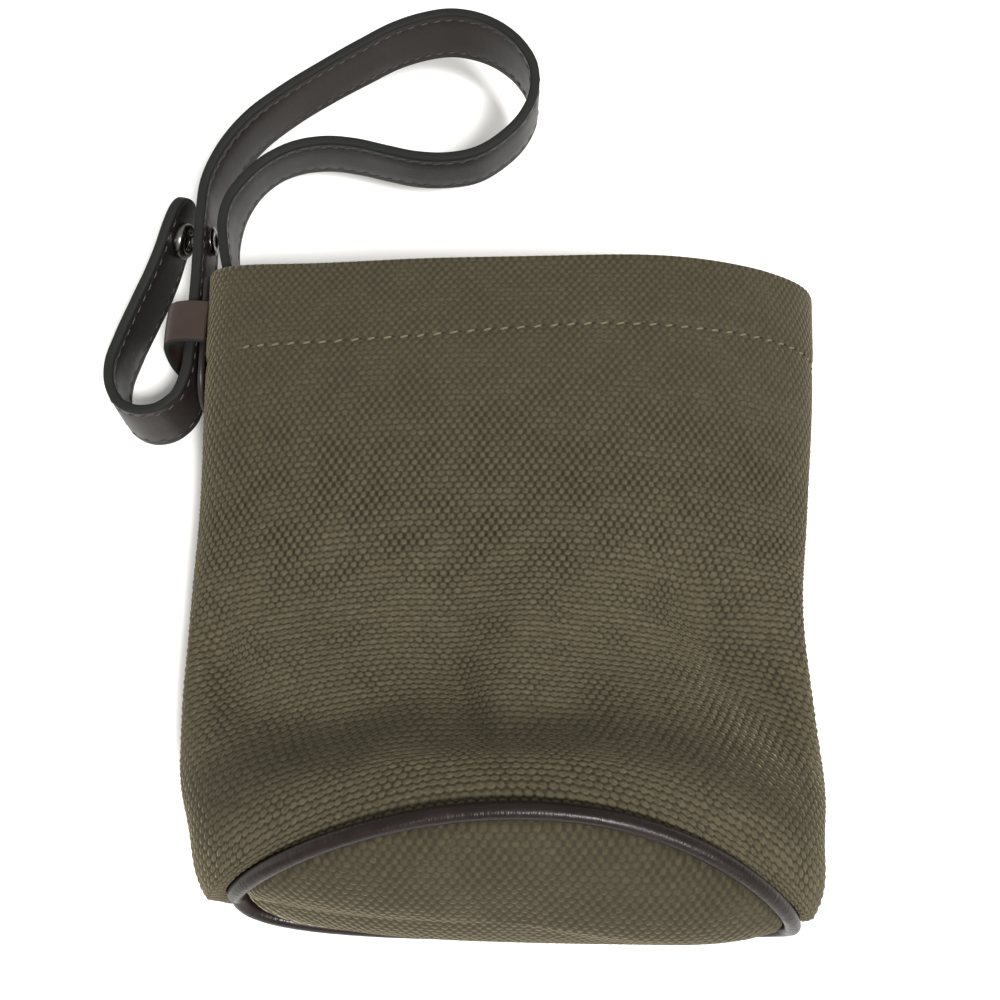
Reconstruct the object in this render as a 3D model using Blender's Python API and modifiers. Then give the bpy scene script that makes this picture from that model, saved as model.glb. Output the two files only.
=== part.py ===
"""Canvas treat pouch with a leather strap, lying on its back.

Lengths are worked out in millimetres in pouch coordinates: X runs to the pouch's
right, Y runs from the foot of the base to the mouth and Z runs up from the surface.
They become metres when a mesh is made, with the origin under the middle of the back.
"""
import math
from typing import NamedTuple

import bmesh
import bpy
import numpy as np

MM = 0.001
ORIGIN_Y = 80.0          # middle of the flat back, measured from the foot of the base

# Cloth and seams
CANVAS = 1.4             # one layer of canvas
HEM = 2.4                # two layers, pressed
HEM_DEPTH = 26.0         # rim to the hem's inner fold
WALL_HEIGHT = 150.0      # seam to rim along the side
PIPING_RADIUS = 1.9
GAP = 0.3                # clearance between touching pieces
SNUG = 0.45              # clearance where a piece lies on a curved one
LIP_ROOM = 0.85          # clearance between the base panel's edge and the wall round it
SEAM_ROOM = PIPING_RADIUS + 0.5    # piping's middle to the cloth's edge
FIRST_LEVEL = 0.045      # the wall's first full section above its seam edge
LIP_SHARE = 0.6          # how far towards it the base panel's edge runs, inside the wall
BASE_BULGE = 7.3         # how far the base panel stands out past its seam
BASE_FULLNESS = 3.0      # 2 is a plain bowl, more is fuller near its edge
BASE_SAG = 0.12          # how much fuller the base panel is at its foot
BASE_LEAN = 0.3          # how much fuller it is towards its right end
BASE_ROLL = 1.6          # width of the base panel's turn beside the piping
BACK_PRESS = 1.5         # how far the cloth would reach through the surface, pressed flat
BACK_RESTS = 0.5         # the back lies on the surface where its rail is lower than this
FOLD_RISE = 1.6          # how soon the front's folds reach their full depth above its sides

# Strap
STRAP_WIDTH = 16.8
STRAP_THICKNESS = 2.7
STRAP_STEP = 4.0         # distance between the strap's sections
STRAP_TIP_ROUND = 8.0    # length of the rounded tip
STRAP_TIP_END = 0.97     # part of the rounding that the tip's last section keeps

# Patch and keeper on the left side of the mouth
PATCH_THICKNESS = 1.5
PATCH_HALF_WIDTH = 10.5
PATCH_LENGTH = 33.0
PATCH_RIM_INSET = 0.4
KEEPER_WIDTH = 12.0      # along the strap
KEEPER_THICKNESS = 1.5
KEEPER_Y = 143.5

# Snap
SNAP_TILT = 15.0         # the tip's half leans this far from the other
TIP_SNAP = (-89.8, 176.0, 19.3)
RUN_SNAP = (-81.15, 175.2, 19.3)
SNAP_RADIUS = 5.6

# Mesh density
COLUMNS = 60             # points round the wall, the piping and the base panel
SECTION_POINTS = 360     # fine points that a section is measured on
CREASE_TOP = 0.46        # the wall's rows lie closer below this part of its height
CREASE_ROWS = 17
PLAIN_ROWS = 7
HEM_ROWS = 4
HEM_STEP = 0.008         # part of the wall's height in which the hem's thickness begins
DOME_RINGS = (0.35, 0.7)
EDGE_RING = 0.93         # ring of the dome that gives its direction at the seam
SNAP_STEPS = 14


class WallRow(NamedTuple):
    """One section of the wall: the four rails it passes through, in millimetres."""

    up: float            # part of the wall's height, 0 at the base seam, 1 at the rim
    back_y: float
    back_z: float
    front_y: float
    front_z: float
    left_x: float
    left_y: float
    left_z: float
    right_x: float
    right_y: float
    right_z: float
    left_square: float   # 2 is round, more is squarer
    right_square: float
    back_square: float


WALL = (
    WallRow(0.00, -1.4, 2.4, 20.5, 50.0, -57.0, 6.0, 17.5, 62.6, -0.6, 16.5, 2.1, 2.1, 2.5),
    WallRow(0.03, 2.5, 1.0, 25.0, 48.2, -61.8, 4.4, 16.2, 66.0, -0.4, 16.0, 2.1, 2.1, 2.9),
    WallRow(0.08, 9.0, 0.0, 31.2, 45.6, -66.2, 8.8, 15.2, 70.4, 5.8, 15.2, 2.2, 2.2, 3.4),
    WallRow(0.14, 18.0, 0.0, 35.6, 42.6, -69.2, 19.5, 15.5, 71.8, 16.5, 15.5, 2.4, 2.4, 3.8),
    WallRow(0.20, 27.0, 0.0, 43.6, 37.6, -71.8, 28.5, 16.0, 73.1, 26.5, 16.0, 2.6, 2.5, 4.0),
    WallRow(0.28, 39.0, 0.0, 53.3, 33.5, -73.2, 42.0, 17.0, 72.8, 42.0, 17.0, 2.6, 2.5, 4.0),
    WallRow(0.42, 60.0, 0.0, 70.0, 35.0, -74.0, 64.0, 17.0, 72.6, 67.0, 17.0, 2.5, 2.4, 4.0),
    WallRow(0.60, 89.0, 0.0, 97.0, 39.0, -74.4, 93.0, 17.0, 76.2, 93.0, 17.0, 2.4, 2.2, 4.0),
    WallRow(0.80, 121.0, 0.0, 126.0, 43.5, -75.6, 127.0, 17.0, 81.0, 125.0, 17.0, 3.2, 2.1, 4.0),
    WallRow(1.00, 155.0, 0.0, 152.0, 46.0, -77.0, 160.0, 16.0, 84.5, 157.0, 16.0, 3.5, 2.0, 4.0),
)


class Dent(NamedTuple):
    """One fold of the front panel: a soft trough, or a ridge where depth is negative."""

    x: float
    y: float
    turn: float          # direction of the fold's length, degrees from +X
    half_length: float
    half_width: float
    depth: float


DENTS = (
    Dent(-55.0, 45.6, -23.0, 23.2, 8.1, 4.6),    # left end of the crease above the base
    Dent(-29.3, 43.7, 3.0, 20.3, 8.1, 2.7),      # where it climbs towards the peak
    Dent(-18.0, 40.2, 36.0, 14.1, 5.2, -1.3),    # facet below the peak
    Dent(-7.4, 45.7, -63.0, 9.0, 3.3, 3.5),      # sharp edge from the peak to the corner
    Dent(8.1, 39.6, 15.0, 13.9, 5.5, 2.2),       # right of the corner
    Dent(-11.4, 56.3, 93.0, 24.2, 6.9, 2.3),     # soft groove that runs up from the peak
    Dent(5.7, 60.1, 72.0, 17.0, 8.4, -3.9),      # ridge beside the groove
    Dent(54.0, 60.0, 16.0, 28.0, 20.0, 5.2),     # broad hollow at the right
    Dent(47.2, 66.5, -58.0, 17.0, 8.9, 5.6),     # slanting fold across it
    Dent(59.9, 42.1, -40.0, 10.8, 7.7, 2.1),     # right end of the crease
    Dent(-68.4, 61.0, -41.0, 12.3, 6.2, 5.2),    # slanting fold at the left
    Dent(-49.1, 65.8, 10.0, 21.7, 14.5, 3.7),    # shallow hollow above the crease
    Dent(-48.0, 156.0, 0.0, 26.0, 34.0, 2.2),    # the mouth sinks a little on the left
    Dent(42.0, 158.0, 0.0, 26.0, 32.0, -2.2),    # and rises on the right
)


class Route(NamedTuple):
    """One point of the strap's middle line, and how far its upper edge leans forward."""

    x: float
    y: float
    z: float
    lean: float


STRAP_ROUTE = (
    Route(-69.9, 127.0, 16.8, 0.0),              # sewn end inside the mouth
    Route(-70.4, 143.0, 17.3, 0.0),
    Route(-71.7, 158.0, 18.0, 0.0),
    Route(-74.0, 168.0, 18.8, 1.0),
    Route(-75.0, 177.5, 19.8, 4.0),
    Route(-73.5, 185.1, 20.8, 12.0),
    Route(-70.1, 190.8, 22.0, 18.0),
    Route(-63.5, 197.3, 23.0, 18.0),
    Route(-56.6, 200.2, 23.8, 15.0),
    Route(-48.4, 201.5, 23.8, 12.0),
    Route(-39.8, 200.5, 23.7, 10.0),
    Route(-31.4, 198.2, 23.7, 10.0),
    Route(-23.1, 196.2, 23.7, 10.5),
    Route(-14.8, 195.7, 23.9, 11.5),
    Route(-6.6, 196.9, 24.6, 11.0),
    Route(0.7, 201.0, 26.0, 11.0),
    Route(6.3, 206.3, 28.0, 10.0),
    Route(9.3, 212.7, 30.0, 8.0),
    Route(9.0, 219.4, 32.0, 4.0),
    Route(6.0, 225.0, 33.2, 3.0),
    Route(1.3, 230.0, 33.7, 2.0),
    Route(-5.5, 234.3, 33.7, 1.5),
    Route(-13.9, 236.2, 33.6, 2.0),
    Route(-21.9, 234.9, 33.4, 3.0),
    Route(-29.9, 232.2, 32.7, 4.0),
    Route(-38.0, 227.9, 31.6, 5.0),
    Route(-48.1, 222.5, 29.8, 7.0),
    Route(-59.6, 215.5, 27.7, 7.0),
    Route(-69.4, 207.8, 25.6, 5.0),
    Route(-76.7, 198.5, 23.0, 3.0),
    Route(-80.5, 189.0, 21.0, 1.0),
    Route(-81.2, 179.5, 19.8, 0.0),
    Route(-81.1, 170.5, 18.9, 0.0),              # under the snap
    Route(-80.9, 160.0, 17.9, 0.0),
    Route(-80.8, 150.0, 17.1, 0.0),              # through the keeper
    Route(-80.8, 140.0, 16.2, 0.0),
    Route(-81.4, 132.0, 15.2, -2.0),
    Route(-83.6, 126.0, 14.2, -5.0),
    Route(-87.8, 122.6, 13.4, -6.0),
    Route(-92.8, 121.9, 12.8, -6.0),
    Route(-98.0, 124.2, 12.4, -4.0),
    Route(-101.4, 129.4, 12.2, -2.0),
    Route(-102.6, 136.5, 12.2, 0.0),
    Route(-100.8, 144.8, 12.8, 0.0),
    Route(-97.2, 154.6, 14.4, 0.0),
    Route(-93.6, 163.0, 16.6, 0.0),
    Route(-91.7, 168.4, 18.0, 0.0),
    Route(-89.8, 176.0, 19.3, 0.0),              # under the snap's cap
    Route(-88.0, 182.4, 20.0, 0.0),
    Route(-86.8, 187.4, 20.4, 0.0),
)


def clear_scene():
    """Remove what the scene holds."""
    for obj in list(bpy.data.objects):
        bpy.data.objects.remove(obj, do_unlink=True)


def make_material(name, color, roughness, metallic=0.0):
    """Return a plain Principled material."""
    material = bpy.data.materials.new(name)
    material.use_nodes = True
    shader = material.node_tree.nodes["Principled BSDF"]
    shader.inputs["Base Color"].default_value = (*color, 1.0)
    shader.inputs["Roughness"].default_value = roughness
    shader.inputs["Metallic"].default_value = metallic
    material.diffuse_color = (*color, 1.0)
    return material


def to_frame(points):
    """Turn pouch millimetres into metres about the origin under the back."""
    shifted = np.asarray(points, float).reshape(-1, 3) - np.array([0.0, ORIGIN_Y, 0.0])
    return shifted * MM


def add_mesh(name, points, faces, material, collection):
    """Make an object from points in pouch millimetres and index faces."""
    mesh = bpy.data.meshes.new(name)
    mesh.from_pydata([tuple(p) for p in to_frame(points)], [], faces)
    work = bmesh.new()
    work.from_mesh(mesh)
    bmesh.ops.recalc_face_normals(work, faces=work.faces)
    work.to_mesh(mesh)
    work.free()
    mesh.shade_smooth()
    mesh.materials.append(material)
    obj = bpy.data.objects.new(name, mesh)
    collection.objects.link(obj)
    return obj


def add_solidify(obj, thickness, offset):
    """Give an open surface its thickness, in millimetres."""
    solidify = obj.modifiers.new("thickness", "SOLIDIFY")
    solidify.thickness = thickness * MM
    solidify.offset = offset
    solidify.use_even_offset = True
    solidify.use_rim = True
    return solidify


def unit(vectors):
    """Scale each vector to length 1."""
    vectors = np.asarray(vectors, float)
    length = np.linalg.norm(vectors, axis=-1, keepdims=True)
    return vectors / np.maximum(length, 1e-9)


def smooth_value(knots, values, where):
    """Cubic curve through the knots, with slopes taken from the neighbours."""
    knots = np.asarray(knots, float)
    values = np.asarray(values, float)
    slopes = np.gradient(values, knots, axis=0)
    index = int(np.clip(np.searchsorted(knots, where) - 1, 0, len(knots) - 2))
    step = knots[index + 1] - knots[index]
    t = (where - knots[index]) / step
    keep = (1 + 2 * t) * (1 - t) ** 2
    start = t * (1 - t) ** 2 * step
    reach = t * t * (3 - 2 * t)
    end = t * t * (t - 1) * step
    return (keep * values[index] + start * slopes[index]
            + reach * values[index + 1] + end * slopes[index + 1])


def wall_row(up):
    """Blend the table's rows to one section's rails."""
    knots = [row.up for row in WALL]
    values = smooth_value(knots, [row[1:] for row in WALL], up)
    return WallRow(up, *values)


def dent_depth(x, y):
    """Depth of the front panel's folds at a place, millimetres."""
    total = np.zeros_like(x)
    for dent in DENTS:
        turn = math.radians(dent.turn)
        dx = x - dent.x
        dy = y - dent.y
        along = (dx * math.cos(turn) + dy * math.sin(turn)) / dent.half_length
        across = (dy * math.cos(turn) - dx * math.sin(turn)) / dent.half_width
        total += dent.depth * np.exp(-along ** 2 - across ** 2)
    return total


def power(values, square):
    """Signed power that turns a circle's sine or cosine into a squarer one."""
    return np.sign(values) * np.abs(values) ** (2.0 / square)


def section(up):
    """Fine closed ring of the wall's outside, from the front's middle to the left."""
    row = wall_row(up)
    angle = math.pi / 2 + np.linspace(0, 2 * math.pi, SECTION_POINTS + 1)
    cosine = np.cos(angle)
    sine = np.sin(angle)
    front = sine > 0
    left = cosine < 0
    square = np.where(front, np.where(left, row.left_square, row.right_square), row.back_square)
    side = power(cosine, square)
    rise = power(sine, square)
    middle = (row.left_x + row.right_x) / 2
    half = (row.right_x - row.left_x) / 2
    x = middle + half * side
    share = (side + 1) / 2
    side_y = row.left_y + (row.right_y - row.left_y) * share
    side_z = row.left_z + (row.right_z - row.left_z) * share
    press = BACK_PRESS if row.back_z < BACK_RESTS else 0.0
    end_y = np.where(front, row.front_y, row.back_y)
    end_z = np.where(front, row.front_z, row.back_z - press)
    y = side_y + (end_y - side_y) * np.where(front, rise ** 2, np.abs(rise))
    z = side_z + (end_z - side_z) * np.abs(rise)
    fold = dent_depth(x, y) * np.clip(rise * FOLD_RISE, 0, 1) ** 2
    z = np.where(front, z - fold, z)
    return np.stack([x, y, np.maximum(z, 0.0)], axis=1)


def ring_lengths(ring):
    """Distance along a ring at each of its points."""
    steps = np.linalg.norm(np.diff(ring, axis=0), axis=1)
    return np.concatenate([[0.0], np.cumsum(steps)])


def at_length(ring, lengths, where):
    """Points at given distances along a ring."""
    return np.stack([np.interp(where, lengths, ring[:, axis]) for axis in range(3)], axis=-1)


def even_ring(up):
    """The wall's section as evenly spaced points, without a repeated last point."""
    ring = section(up)
    lengths = ring_lengths(ring)
    return at_length(ring, lengths, np.arange(COLUMNS) / COLUMNS * lengths[-1])


def along_ring(ring):
    """Direction of a closed ring at each point."""
    return unit(np.roll(ring, -1, axis=0) - np.roll(ring, 1, axis=0))


def square_to(vectors, directions):
    """Take out of each vector its part along a direction."""
    part = np.sum(vectors * directions, axis=1, keepdims=True)
    return unit(vectors - part * directions)


def dome_ring(seam, reach):
    """Ring of the base panel at a part of the way from its middle to the seam."""
    middle = seam.mean(axis=0)
    top = seam[0]
    bottom = seam[COLUMNS // 2]
    tall = unit(top - bottom)
    outward = unit(np.cross(np.array([1.0, 0.0, 0.0]), tall))
    outward = outward if outward[1] < 0 else -outward
    flat = middle + (seam - middle) * reach
    half_tall = np.linalg.norm(top - bottom) / 2
    low = np.clip(-((flat - middle) @ tall) / half_tall, -1, 1)
    right = (flat[:, 0] - middle[0]) / (np.ptp(seam[:, 0]) / 2)
    fuller = 1 + BASE_SAG * low + BASE_LEAN * right
    bulge = BASE_BULGE * (1 - reach ** BASE_FULLNESS) * fuller
    return flat + bulge[:, None] * outward


def seam_frame():
    """Seam ring with its directions along the wall, along the panel and inwards."""
    seam = even_ring(0.0)
    along = along_ring(seam)
    to_wall = square_to(even_ring(FIRST_LEVEL) - seam, along)
    to_panel = square_to(dome_ring(seam, EDGE_RING) - seam, along)
    mouthward = np.array([0.0, WALL_HEIGHT / 4, 0.0])
    inside = seam.mean(axis=0) + mouthward - seam
    wall_in = np.cross(along, to_wall)
    wall_in *= np.sign(np.sum(wall_in * inside, axis=1, keepdims=True))
    panel_in = np.cross(along, to_panel)
    panel_in *= np.sign(np.sum(panel_in * inside, axis=1, keepdims=True))
    return seam, to_wall, to_panel, unit(wall_in + panel_in), wall_in


def strip_faces(rings, columns, closed=True):
    """Quads between neighbouring rings of equal length."""
    faces = []
    last = columns if closed else columns - 1
    for row in range(rings - 1):
        for column in range(last):
            right = (column + 1) % columns
            low = row * columns
            high = low + columns
            faces.append((low + column, low + right, high + right, high + column))
    return faces


def build_body(material, collection):
    """Canvas wall, open at the mouth and at the base seam, thicker in the hem."""
    seam, to_wall, _, _, _ = seam_frame()
    first = seam + SEAM_ROOM * to_wall
    hem_start = 1.0 - HEM_DEPTH / WALL_HEIGHT
    levels = np.linspace(FIRST_LEVEL, CREASE_TOP, CREASE_ROWS).tolist()
    levels += np.linspace(CREASE_TOP, hem_start, PLAIN_ROWS).tolist()[1:]
    levels += np.linspace(hem_start + HEM_STEP, 1.0, HEM_ROWS).tolist()
    rings = [first] + [even_ring(level) for level in levels]
    points = np.concatenate(rings)
    body = add_mesh("pouch_body", points, strip_faces(len(rings), COLUMNS), material, collection)
    hem = body.vertex_groups.new(name="hem")
    hem.add(list(range(len(points) - HEM_ROWS * COLUMNS, len(points))), 1.0, "REPLACE")
    solidify = add_solidify(body, HEM, -1.0)
    solidify.vertex_group = "hem"
    solidify.thickness_vertex_group = CANVAS / HEM
    return body


def build_base(material, collection):
    """Bulged oval base whose edge runs up inside the wall, behind the piping."""
    seam, to_wall, to_panel, inward, wall_in = seam_frame()
    middle = dome_ring(seam, 0.0).mean(axis=0)
    wall_edge = seam + SEAM_ROOM * to_wall
    lip = wall_edge + LIP_SHARE * (even_ring(FIRST_LEVEL) - wall_edge)
    rings = [dome_ring(seam, reach) for reach in DOME_RINGS]
    rings.append(seam + (SEAM_ROOM + BASE_ROLL) * to_panel)
    rings.append(seam + (SEAM_ROOM + 2 * GAP) * inward)
    rings.append(lip + (CANVAS + LIP_ROOM) * wall_in)
    points = np.concatenate([middle[None]] + rings)
    faces = [(0, 1 + (k + 1) % COLUMNS, 1 + k) for k in range(COLUMNS)]
    for face in strip_faces(len(rings), COLUMNS):
        faces.append(tuple(index + 1 for index in face))
    panel = add_mesh("base_panel", points, faces, material, collection)
    face_away_from_mouth(panel)
    add_solidify(panel, CANVAS, -1.0)
    return panel


def face_away_from_mouth(obj):
    """Turn an open cap's faces so that its middle faces the base's outside."""
    mesh = obj.data
    if mesh.polygons[0].normal.y > 0:
        mesh.flip_normals()


def build_piping(material, collection):
    """Leather piping, one closed ring along the base seam."""
    seam = to_frame(even_ring(0.0))
    curve = bpy.data.curves.new("base_piping", "CURVE")
    curve.dimensions = "3D"
    curve.bevel_depth = PIPING_RADIUS * MM
    curve.bevel_resolution = 2
    curve.use_fill_caps = True
    spline = curve.splines.new("POLY")
    spline.points.add(COLUMNS - 1)
    for point, place in zip(spline.points, seam):
        point.co = (*place, 1.0)
    spline.use_cyclic_u = True
    curve.materials.append(material)
    piping = bpy.data.objects.new("base_piping", curve)
    collection.objects.link(piping)
    return piping


def build_patch(material, collection):
    """Leather patch on the left side of the mouth, round at its lower end."""
    across = np.linspace(-1.0, 1.0, 9)
    rows = 9
    top = 1.0 - PATCH_RIM_INSET / WALL_HEIGHT
    points = []
    for row in range(rows):
        for place in across:
            drop = math.sqrt(max(1.0 - place * place, 0.0)) * PATCH_HALF_WIDTH
            length = PATCH_LENGTH - PATCH_HALF_WIDTH + drop
            up = top - length / WALL_HEIGHT * (1.0 - row / (rows - 1))
            points.append(patch_point(up, place))
    faces = strip_faces(rows, len(across), closed=False)
    patch = add_mesh("side_patch", np.array(points), faces, material, collection)
    if patch.data.polygons[len(faces) // 2].normal.x > 0:
        patch.data.flip_normals()
    add_solidify(patch, PATCH_THICKNESS, 1.0)
    return patch


def patch_point(up, place):
    """Point just off the wall's left side, by its place across the patch."""
    ring = section(up)
    lengths = ring_lengths(ring)
    side = lengths[SECTION_POINTS // 4]
    where = side + place * PATCH_HALF_WIDTH
    near = at_length(ring, lengths, np.array([where - 0.5, where, where + 0.5]))
    along = near[2] - near[0]
    outward = unit(np.array([-abs(along[2]), 0.0, along[0] * np.sign(along[2])]))
    return near[1] + outward * SNUG


def strap_sections():
    """Middle points and width directions of the strap at even steps."""
    knots = [0.0]
    places = np.array([route[:3] for route in STRAP_ROUTE])
    for first, second in zip(places[:-1], places[1:]):
        knots.append(knots[-1] + float(np.linalg.norm(second - first)))
    count = int(round(knots[-1] / STRAP_STEP)) + 1
    along = np.linspace(0.0, knots[-1], count)
    middle = np.array([smooth_value(knots, places, where) for where in along])
    leans = [route.lean for route in STRAP_ROUTE]
    lean = np.radians([smooth_value(knots, leans, where) for where in along])
    tangent = unit(np.gradient(middle, axis=0))
    upright = np.stack([np.zeros(count), -np.sin(lean), np.cos(lean)], axis=1)
    return along, middle, square_to(upright, tangent)


def build_strap(material, collection):
    """One leather strip that stands on its edge, with a rounded tip."""
    along, middle, upright = strap_sections()
    to_tip = along[-1] - along
    tip = np.clip(1.0 - to_tip / STRAP_TIP_ROUND, 0.0, STRAP_TIP_END)
    half = STRAP_WIDTH / 2 * np.sqrt(1.0 - tip ** 2)
    lower = middle - half[:, None] * upright
    upper = middle + half[:, None] * upright
    points = np.stack([lower, upper], axis=1).reshape(-1, 3)
    faces = strip_faces(len(along), 2, closed=False)
    strap = add_mesh("strap", points, faces, material, collection)
    add_solidify(strap, STRAP_THICKNESS, 0.0)
    return strap


class KeeperPoint(NamedTuple):
    """One point of the keeper's inner outline, seen along the strap."""

    x: float
    z: float


KEEPER_OUTLINE = (
    KeeperPoint(-75.4, 28.4),
    KeeperPoint(-79.6, 28.9),
    KeeperPoint(-83.6, 28.0),
    KeeperPoint(-85.4, 25.4),
    KeeperPoint(-86.2, 20.0),
    KeeperPoint(-86.2, 14.0),
    KeeperPoint(-85.2, 8.8),
    KeeperPoint(-82.8, 5.6),
    KeeperPoint(-79.6, 4.8),
    KeeperPoint(-75.6, 5.3),
)


def build_keeper(material, collection):
    """Loose leather band round the strap, sewn down at the patch."""
    points = []
    for side in (-0.5, 0.5):
        for place in KEEPER_OUTLINE:
            points.append((place.x, KEEPER_Y + side * KEEPER_WIDTH, place.z))
    faces = strip_faces(2, len(KEEPER_OUTLINE), closed=False)
    keeper = add_mesh("strap_keeper", np.array(points), faces, material, collection)
    middle = len(faces) // 2
    if keeper.data.polygons[middle].normal.x > 0:
        keeper.data.flip_normals()
    add_solidify(keeper, KEEPER_THICKNESS, 1.0)
    return keeper


class TurnPoint(NamedTuple):
    """One point of a turned profile."""

    radius: float
    height: float


CAP_PROFILE = (
    TurnPoint(0.0, 2.0),
    TurnPoint(2.4, 1.8),
    TurnPoint(4.3, 1.1),
    TurnPoint(SNAP_RADIUS, 0.3),
    TurnPoint(SNAP_RADIUS, 0.0),
    TurnPoint(0.0, 0.0),
)
SOCKET_PROFILE = (
    TurnPoint(0.0, 1.0),       # floor of the socket
    TurnPoint(2.6, 1.0),
    TurnPoint(2.6, 2.3),
    TurnPoint(3.2, 2.5),       # rolled lip
    TurnPoint(4.3, 2.3),
    TurnPoint(5.0, 1.5),
    TurnPoint(5.0, 0.5),
    TurnPoint(4.5, 0.0),
    TurnPoint(0.0, 0.0),
)
STUD_PROFILE = (
    TurnPoint(0.0, 2.8),
    TurnPoint(1.4, 2.8),
    TurnPoint(1.9, 2.3),       # bead that the socket grips
    TurnPoint(1.6, 0.6),
    TurnPoint(4.0, 0.4),
    TurnPoint(4.2, 0.0),
    TurnPoint(0.0, 0.0),
)
POST_PROFILE = (
    TurnPoint(0.0, 0.9),
    TurnPoint(2.9, 0.9),
    TurnPoint(4.0, 0.5),
    TurnPoint(4.1, 0.0),
    TurnPoint(0.0, 0.0),
)


def turned(name, profile, place, facing, tilt, material, collection):
    """Turn a profile about an axis along X, then tilt it.

    Height 0 is at the place, and facing is the side of it that the profile rises to.
    """
    mesh = bpy.data.meshes.new(name)
    points = [(point.radius * MM, 0.0, point.height * MM) for point in profile]
    edges = [(k, k + 1) for k in range(len(profile) - 1)]
    mesh.from_pydata(points, edges, [])
    mesh.materials.append(material)
    obj = bpy.data.objects.new(name, mesh)
    collection.objects.link(obj)
    screw = obj.modifiers.new("turn", "SCREW")
    screw.steps = SNAP_STEPS
    screw.render_steps = SNAP_STEPS
    screw.use_merge_vertices = True
    screw.merge_threshold = 0.00005
    screw.use_smooth_shade = True
    obj.location = to_frame(place)[0]
    obj.rotation_euler = (0.0, facing * math.pi / 2, -math.radians(tilt))
    return obj


def build_snap(material, collection):
    """Ring snap between the strap's tip and its run beside the mouth."""
    off = STRAP_THICKNESS / 2 + SNUG
    tilt = math.radians(SNAP_TILT)
    lean = np.array([math.cos(tilt), -math.sin(tilt), 0.0])
    sideways = np.array([1.0, 0.0, 0.0])
    tip = np.array(TIP_SNAP)
    run = np.array(RUN_SNAP)
    turned("snap_cap", CAP_PROFILE, tip - off * lean, -1, SNAP_TILT, material, collection)
    turned("snap_socket", SOCKET_PROFILE, tip + off * lean, 1, SNAP_TILT, material, collection)
    turned("snap_stud", STUD_PROFILE, run - off * sideways, -1, 0.0, material, collection)
    turned("snap_post", POST_PROFILE, run + off * sideways, 1, 0.0, material, collection)


def build():
    """Make every piece."""
    clear_scene()
    collection = bpy.data.collections.new("treat_pouch")
    bpy.context.scene.collection.children.link(collection)
    build_body(make_material("wall_canvas", (0.090, 0.078, 0.050), 0.95), collection)
    build_base(make_material("base_canvas", (0.105, 0.092, 0.062), 0.95), collection)
    build_piping(make_material("piping_leather", (0.035, 0.026, 0.024), 0.45), collection)
    build_patch(make_material("patch_leather", (0.022, 0.018, 0.017), 0.5), collection)
    build_strap(make_material("strap_leather", (0.040, 0.033, 0.031), 0.5), collection)
    build_keeper(make_material("keeper_leather", (0.075, 0.048, 0.042), 0.5), collection)
    build_snap(make_material("nickel", (0.55, 0.56, 0.55), 0.25, 1.0), collection)


if __name__ == "__main__":
    build()
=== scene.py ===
"""Canvas treat pouch with a leather strap, lying on its back in soft studio light.

Shapes are worked out in millimetres in pouch coordinates: X runs to the pouch's right,
Y from the foot of the base to the mouth and Z up from the surface. They become metres,
about an origin under the middle of the back, when a mesh is made.
"""
import logging
import math
from dataclasses import dataclass
from enum import Enum
from typing import NamedTuple, Sequence, Union

import bmesh
import bpy
import numpy as np
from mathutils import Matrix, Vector

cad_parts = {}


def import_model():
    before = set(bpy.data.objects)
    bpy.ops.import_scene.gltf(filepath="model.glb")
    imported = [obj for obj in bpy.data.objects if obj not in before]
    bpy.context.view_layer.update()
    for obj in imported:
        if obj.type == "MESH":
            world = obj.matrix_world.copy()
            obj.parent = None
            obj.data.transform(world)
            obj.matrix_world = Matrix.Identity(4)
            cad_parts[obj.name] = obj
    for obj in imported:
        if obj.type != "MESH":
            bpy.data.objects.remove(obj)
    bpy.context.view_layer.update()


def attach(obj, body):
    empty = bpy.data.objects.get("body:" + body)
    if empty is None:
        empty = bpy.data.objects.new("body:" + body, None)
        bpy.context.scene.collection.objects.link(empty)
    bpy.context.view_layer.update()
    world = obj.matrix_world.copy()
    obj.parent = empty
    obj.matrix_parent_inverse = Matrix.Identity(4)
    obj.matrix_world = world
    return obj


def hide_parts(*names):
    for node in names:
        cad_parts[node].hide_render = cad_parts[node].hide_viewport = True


log = logging.getLogger("treat_pouch")

Array = np.ndarray
Faces = list[tuple[int, ...]]
Span = tuple[float, float]
Place = tuple[float, float, float]
Socket = bpy.types.NodeSocket

MM = 0.001
ORIGIN_Y = 80.0                # middle of the flat back, from the foot of the base
TO_RIGHT = np.array([1.0, 0.0, 0.0])
CLOTH_MAP = "cloth"            # UV map in UV_UNIT millimetres, measured along the surface
UV_UNIT = 100.0

WALL_HEIGHT = 150.0            # what a rise of 1 in up stands for
CANVAS = 1.4                   # thickness of the cloth
PIPING_RADIUS = 1.9
THREAD_ACROSS = 1.045          # spacing of the canvas threads round the pouch
THREAD_ALONG = 1.5             # and from the base to the mouth
WEAVE_STEPS = 2                # mesh steps to one thread
COLUMN_STEP = THREAD_ACROSS / WEAVE_STEPS
ROW_STEP = THREAD_ALONG / WEAVE_STEPS


class Slot(Enum):
    """Material slots of the part."""

    CANVAS = "canvas"
    PIPING = "piping_leather"
    STRAP = "strap_leather"
    KEEPER = "keeper_leather"
    NICKEL = "nickel"


class WallRow(NamedTuple):
    """One section of the wall: the four rails it passes through."""

    up: float
    back_y: float
    back_z: float
    front_y: float
    front_z: float
    left_x: float
    left_y: float
    left_z: float
    right_x: float
    right_y: float
    right_z: float
    left_square: float
    right_square: float
    back_square: float


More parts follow.
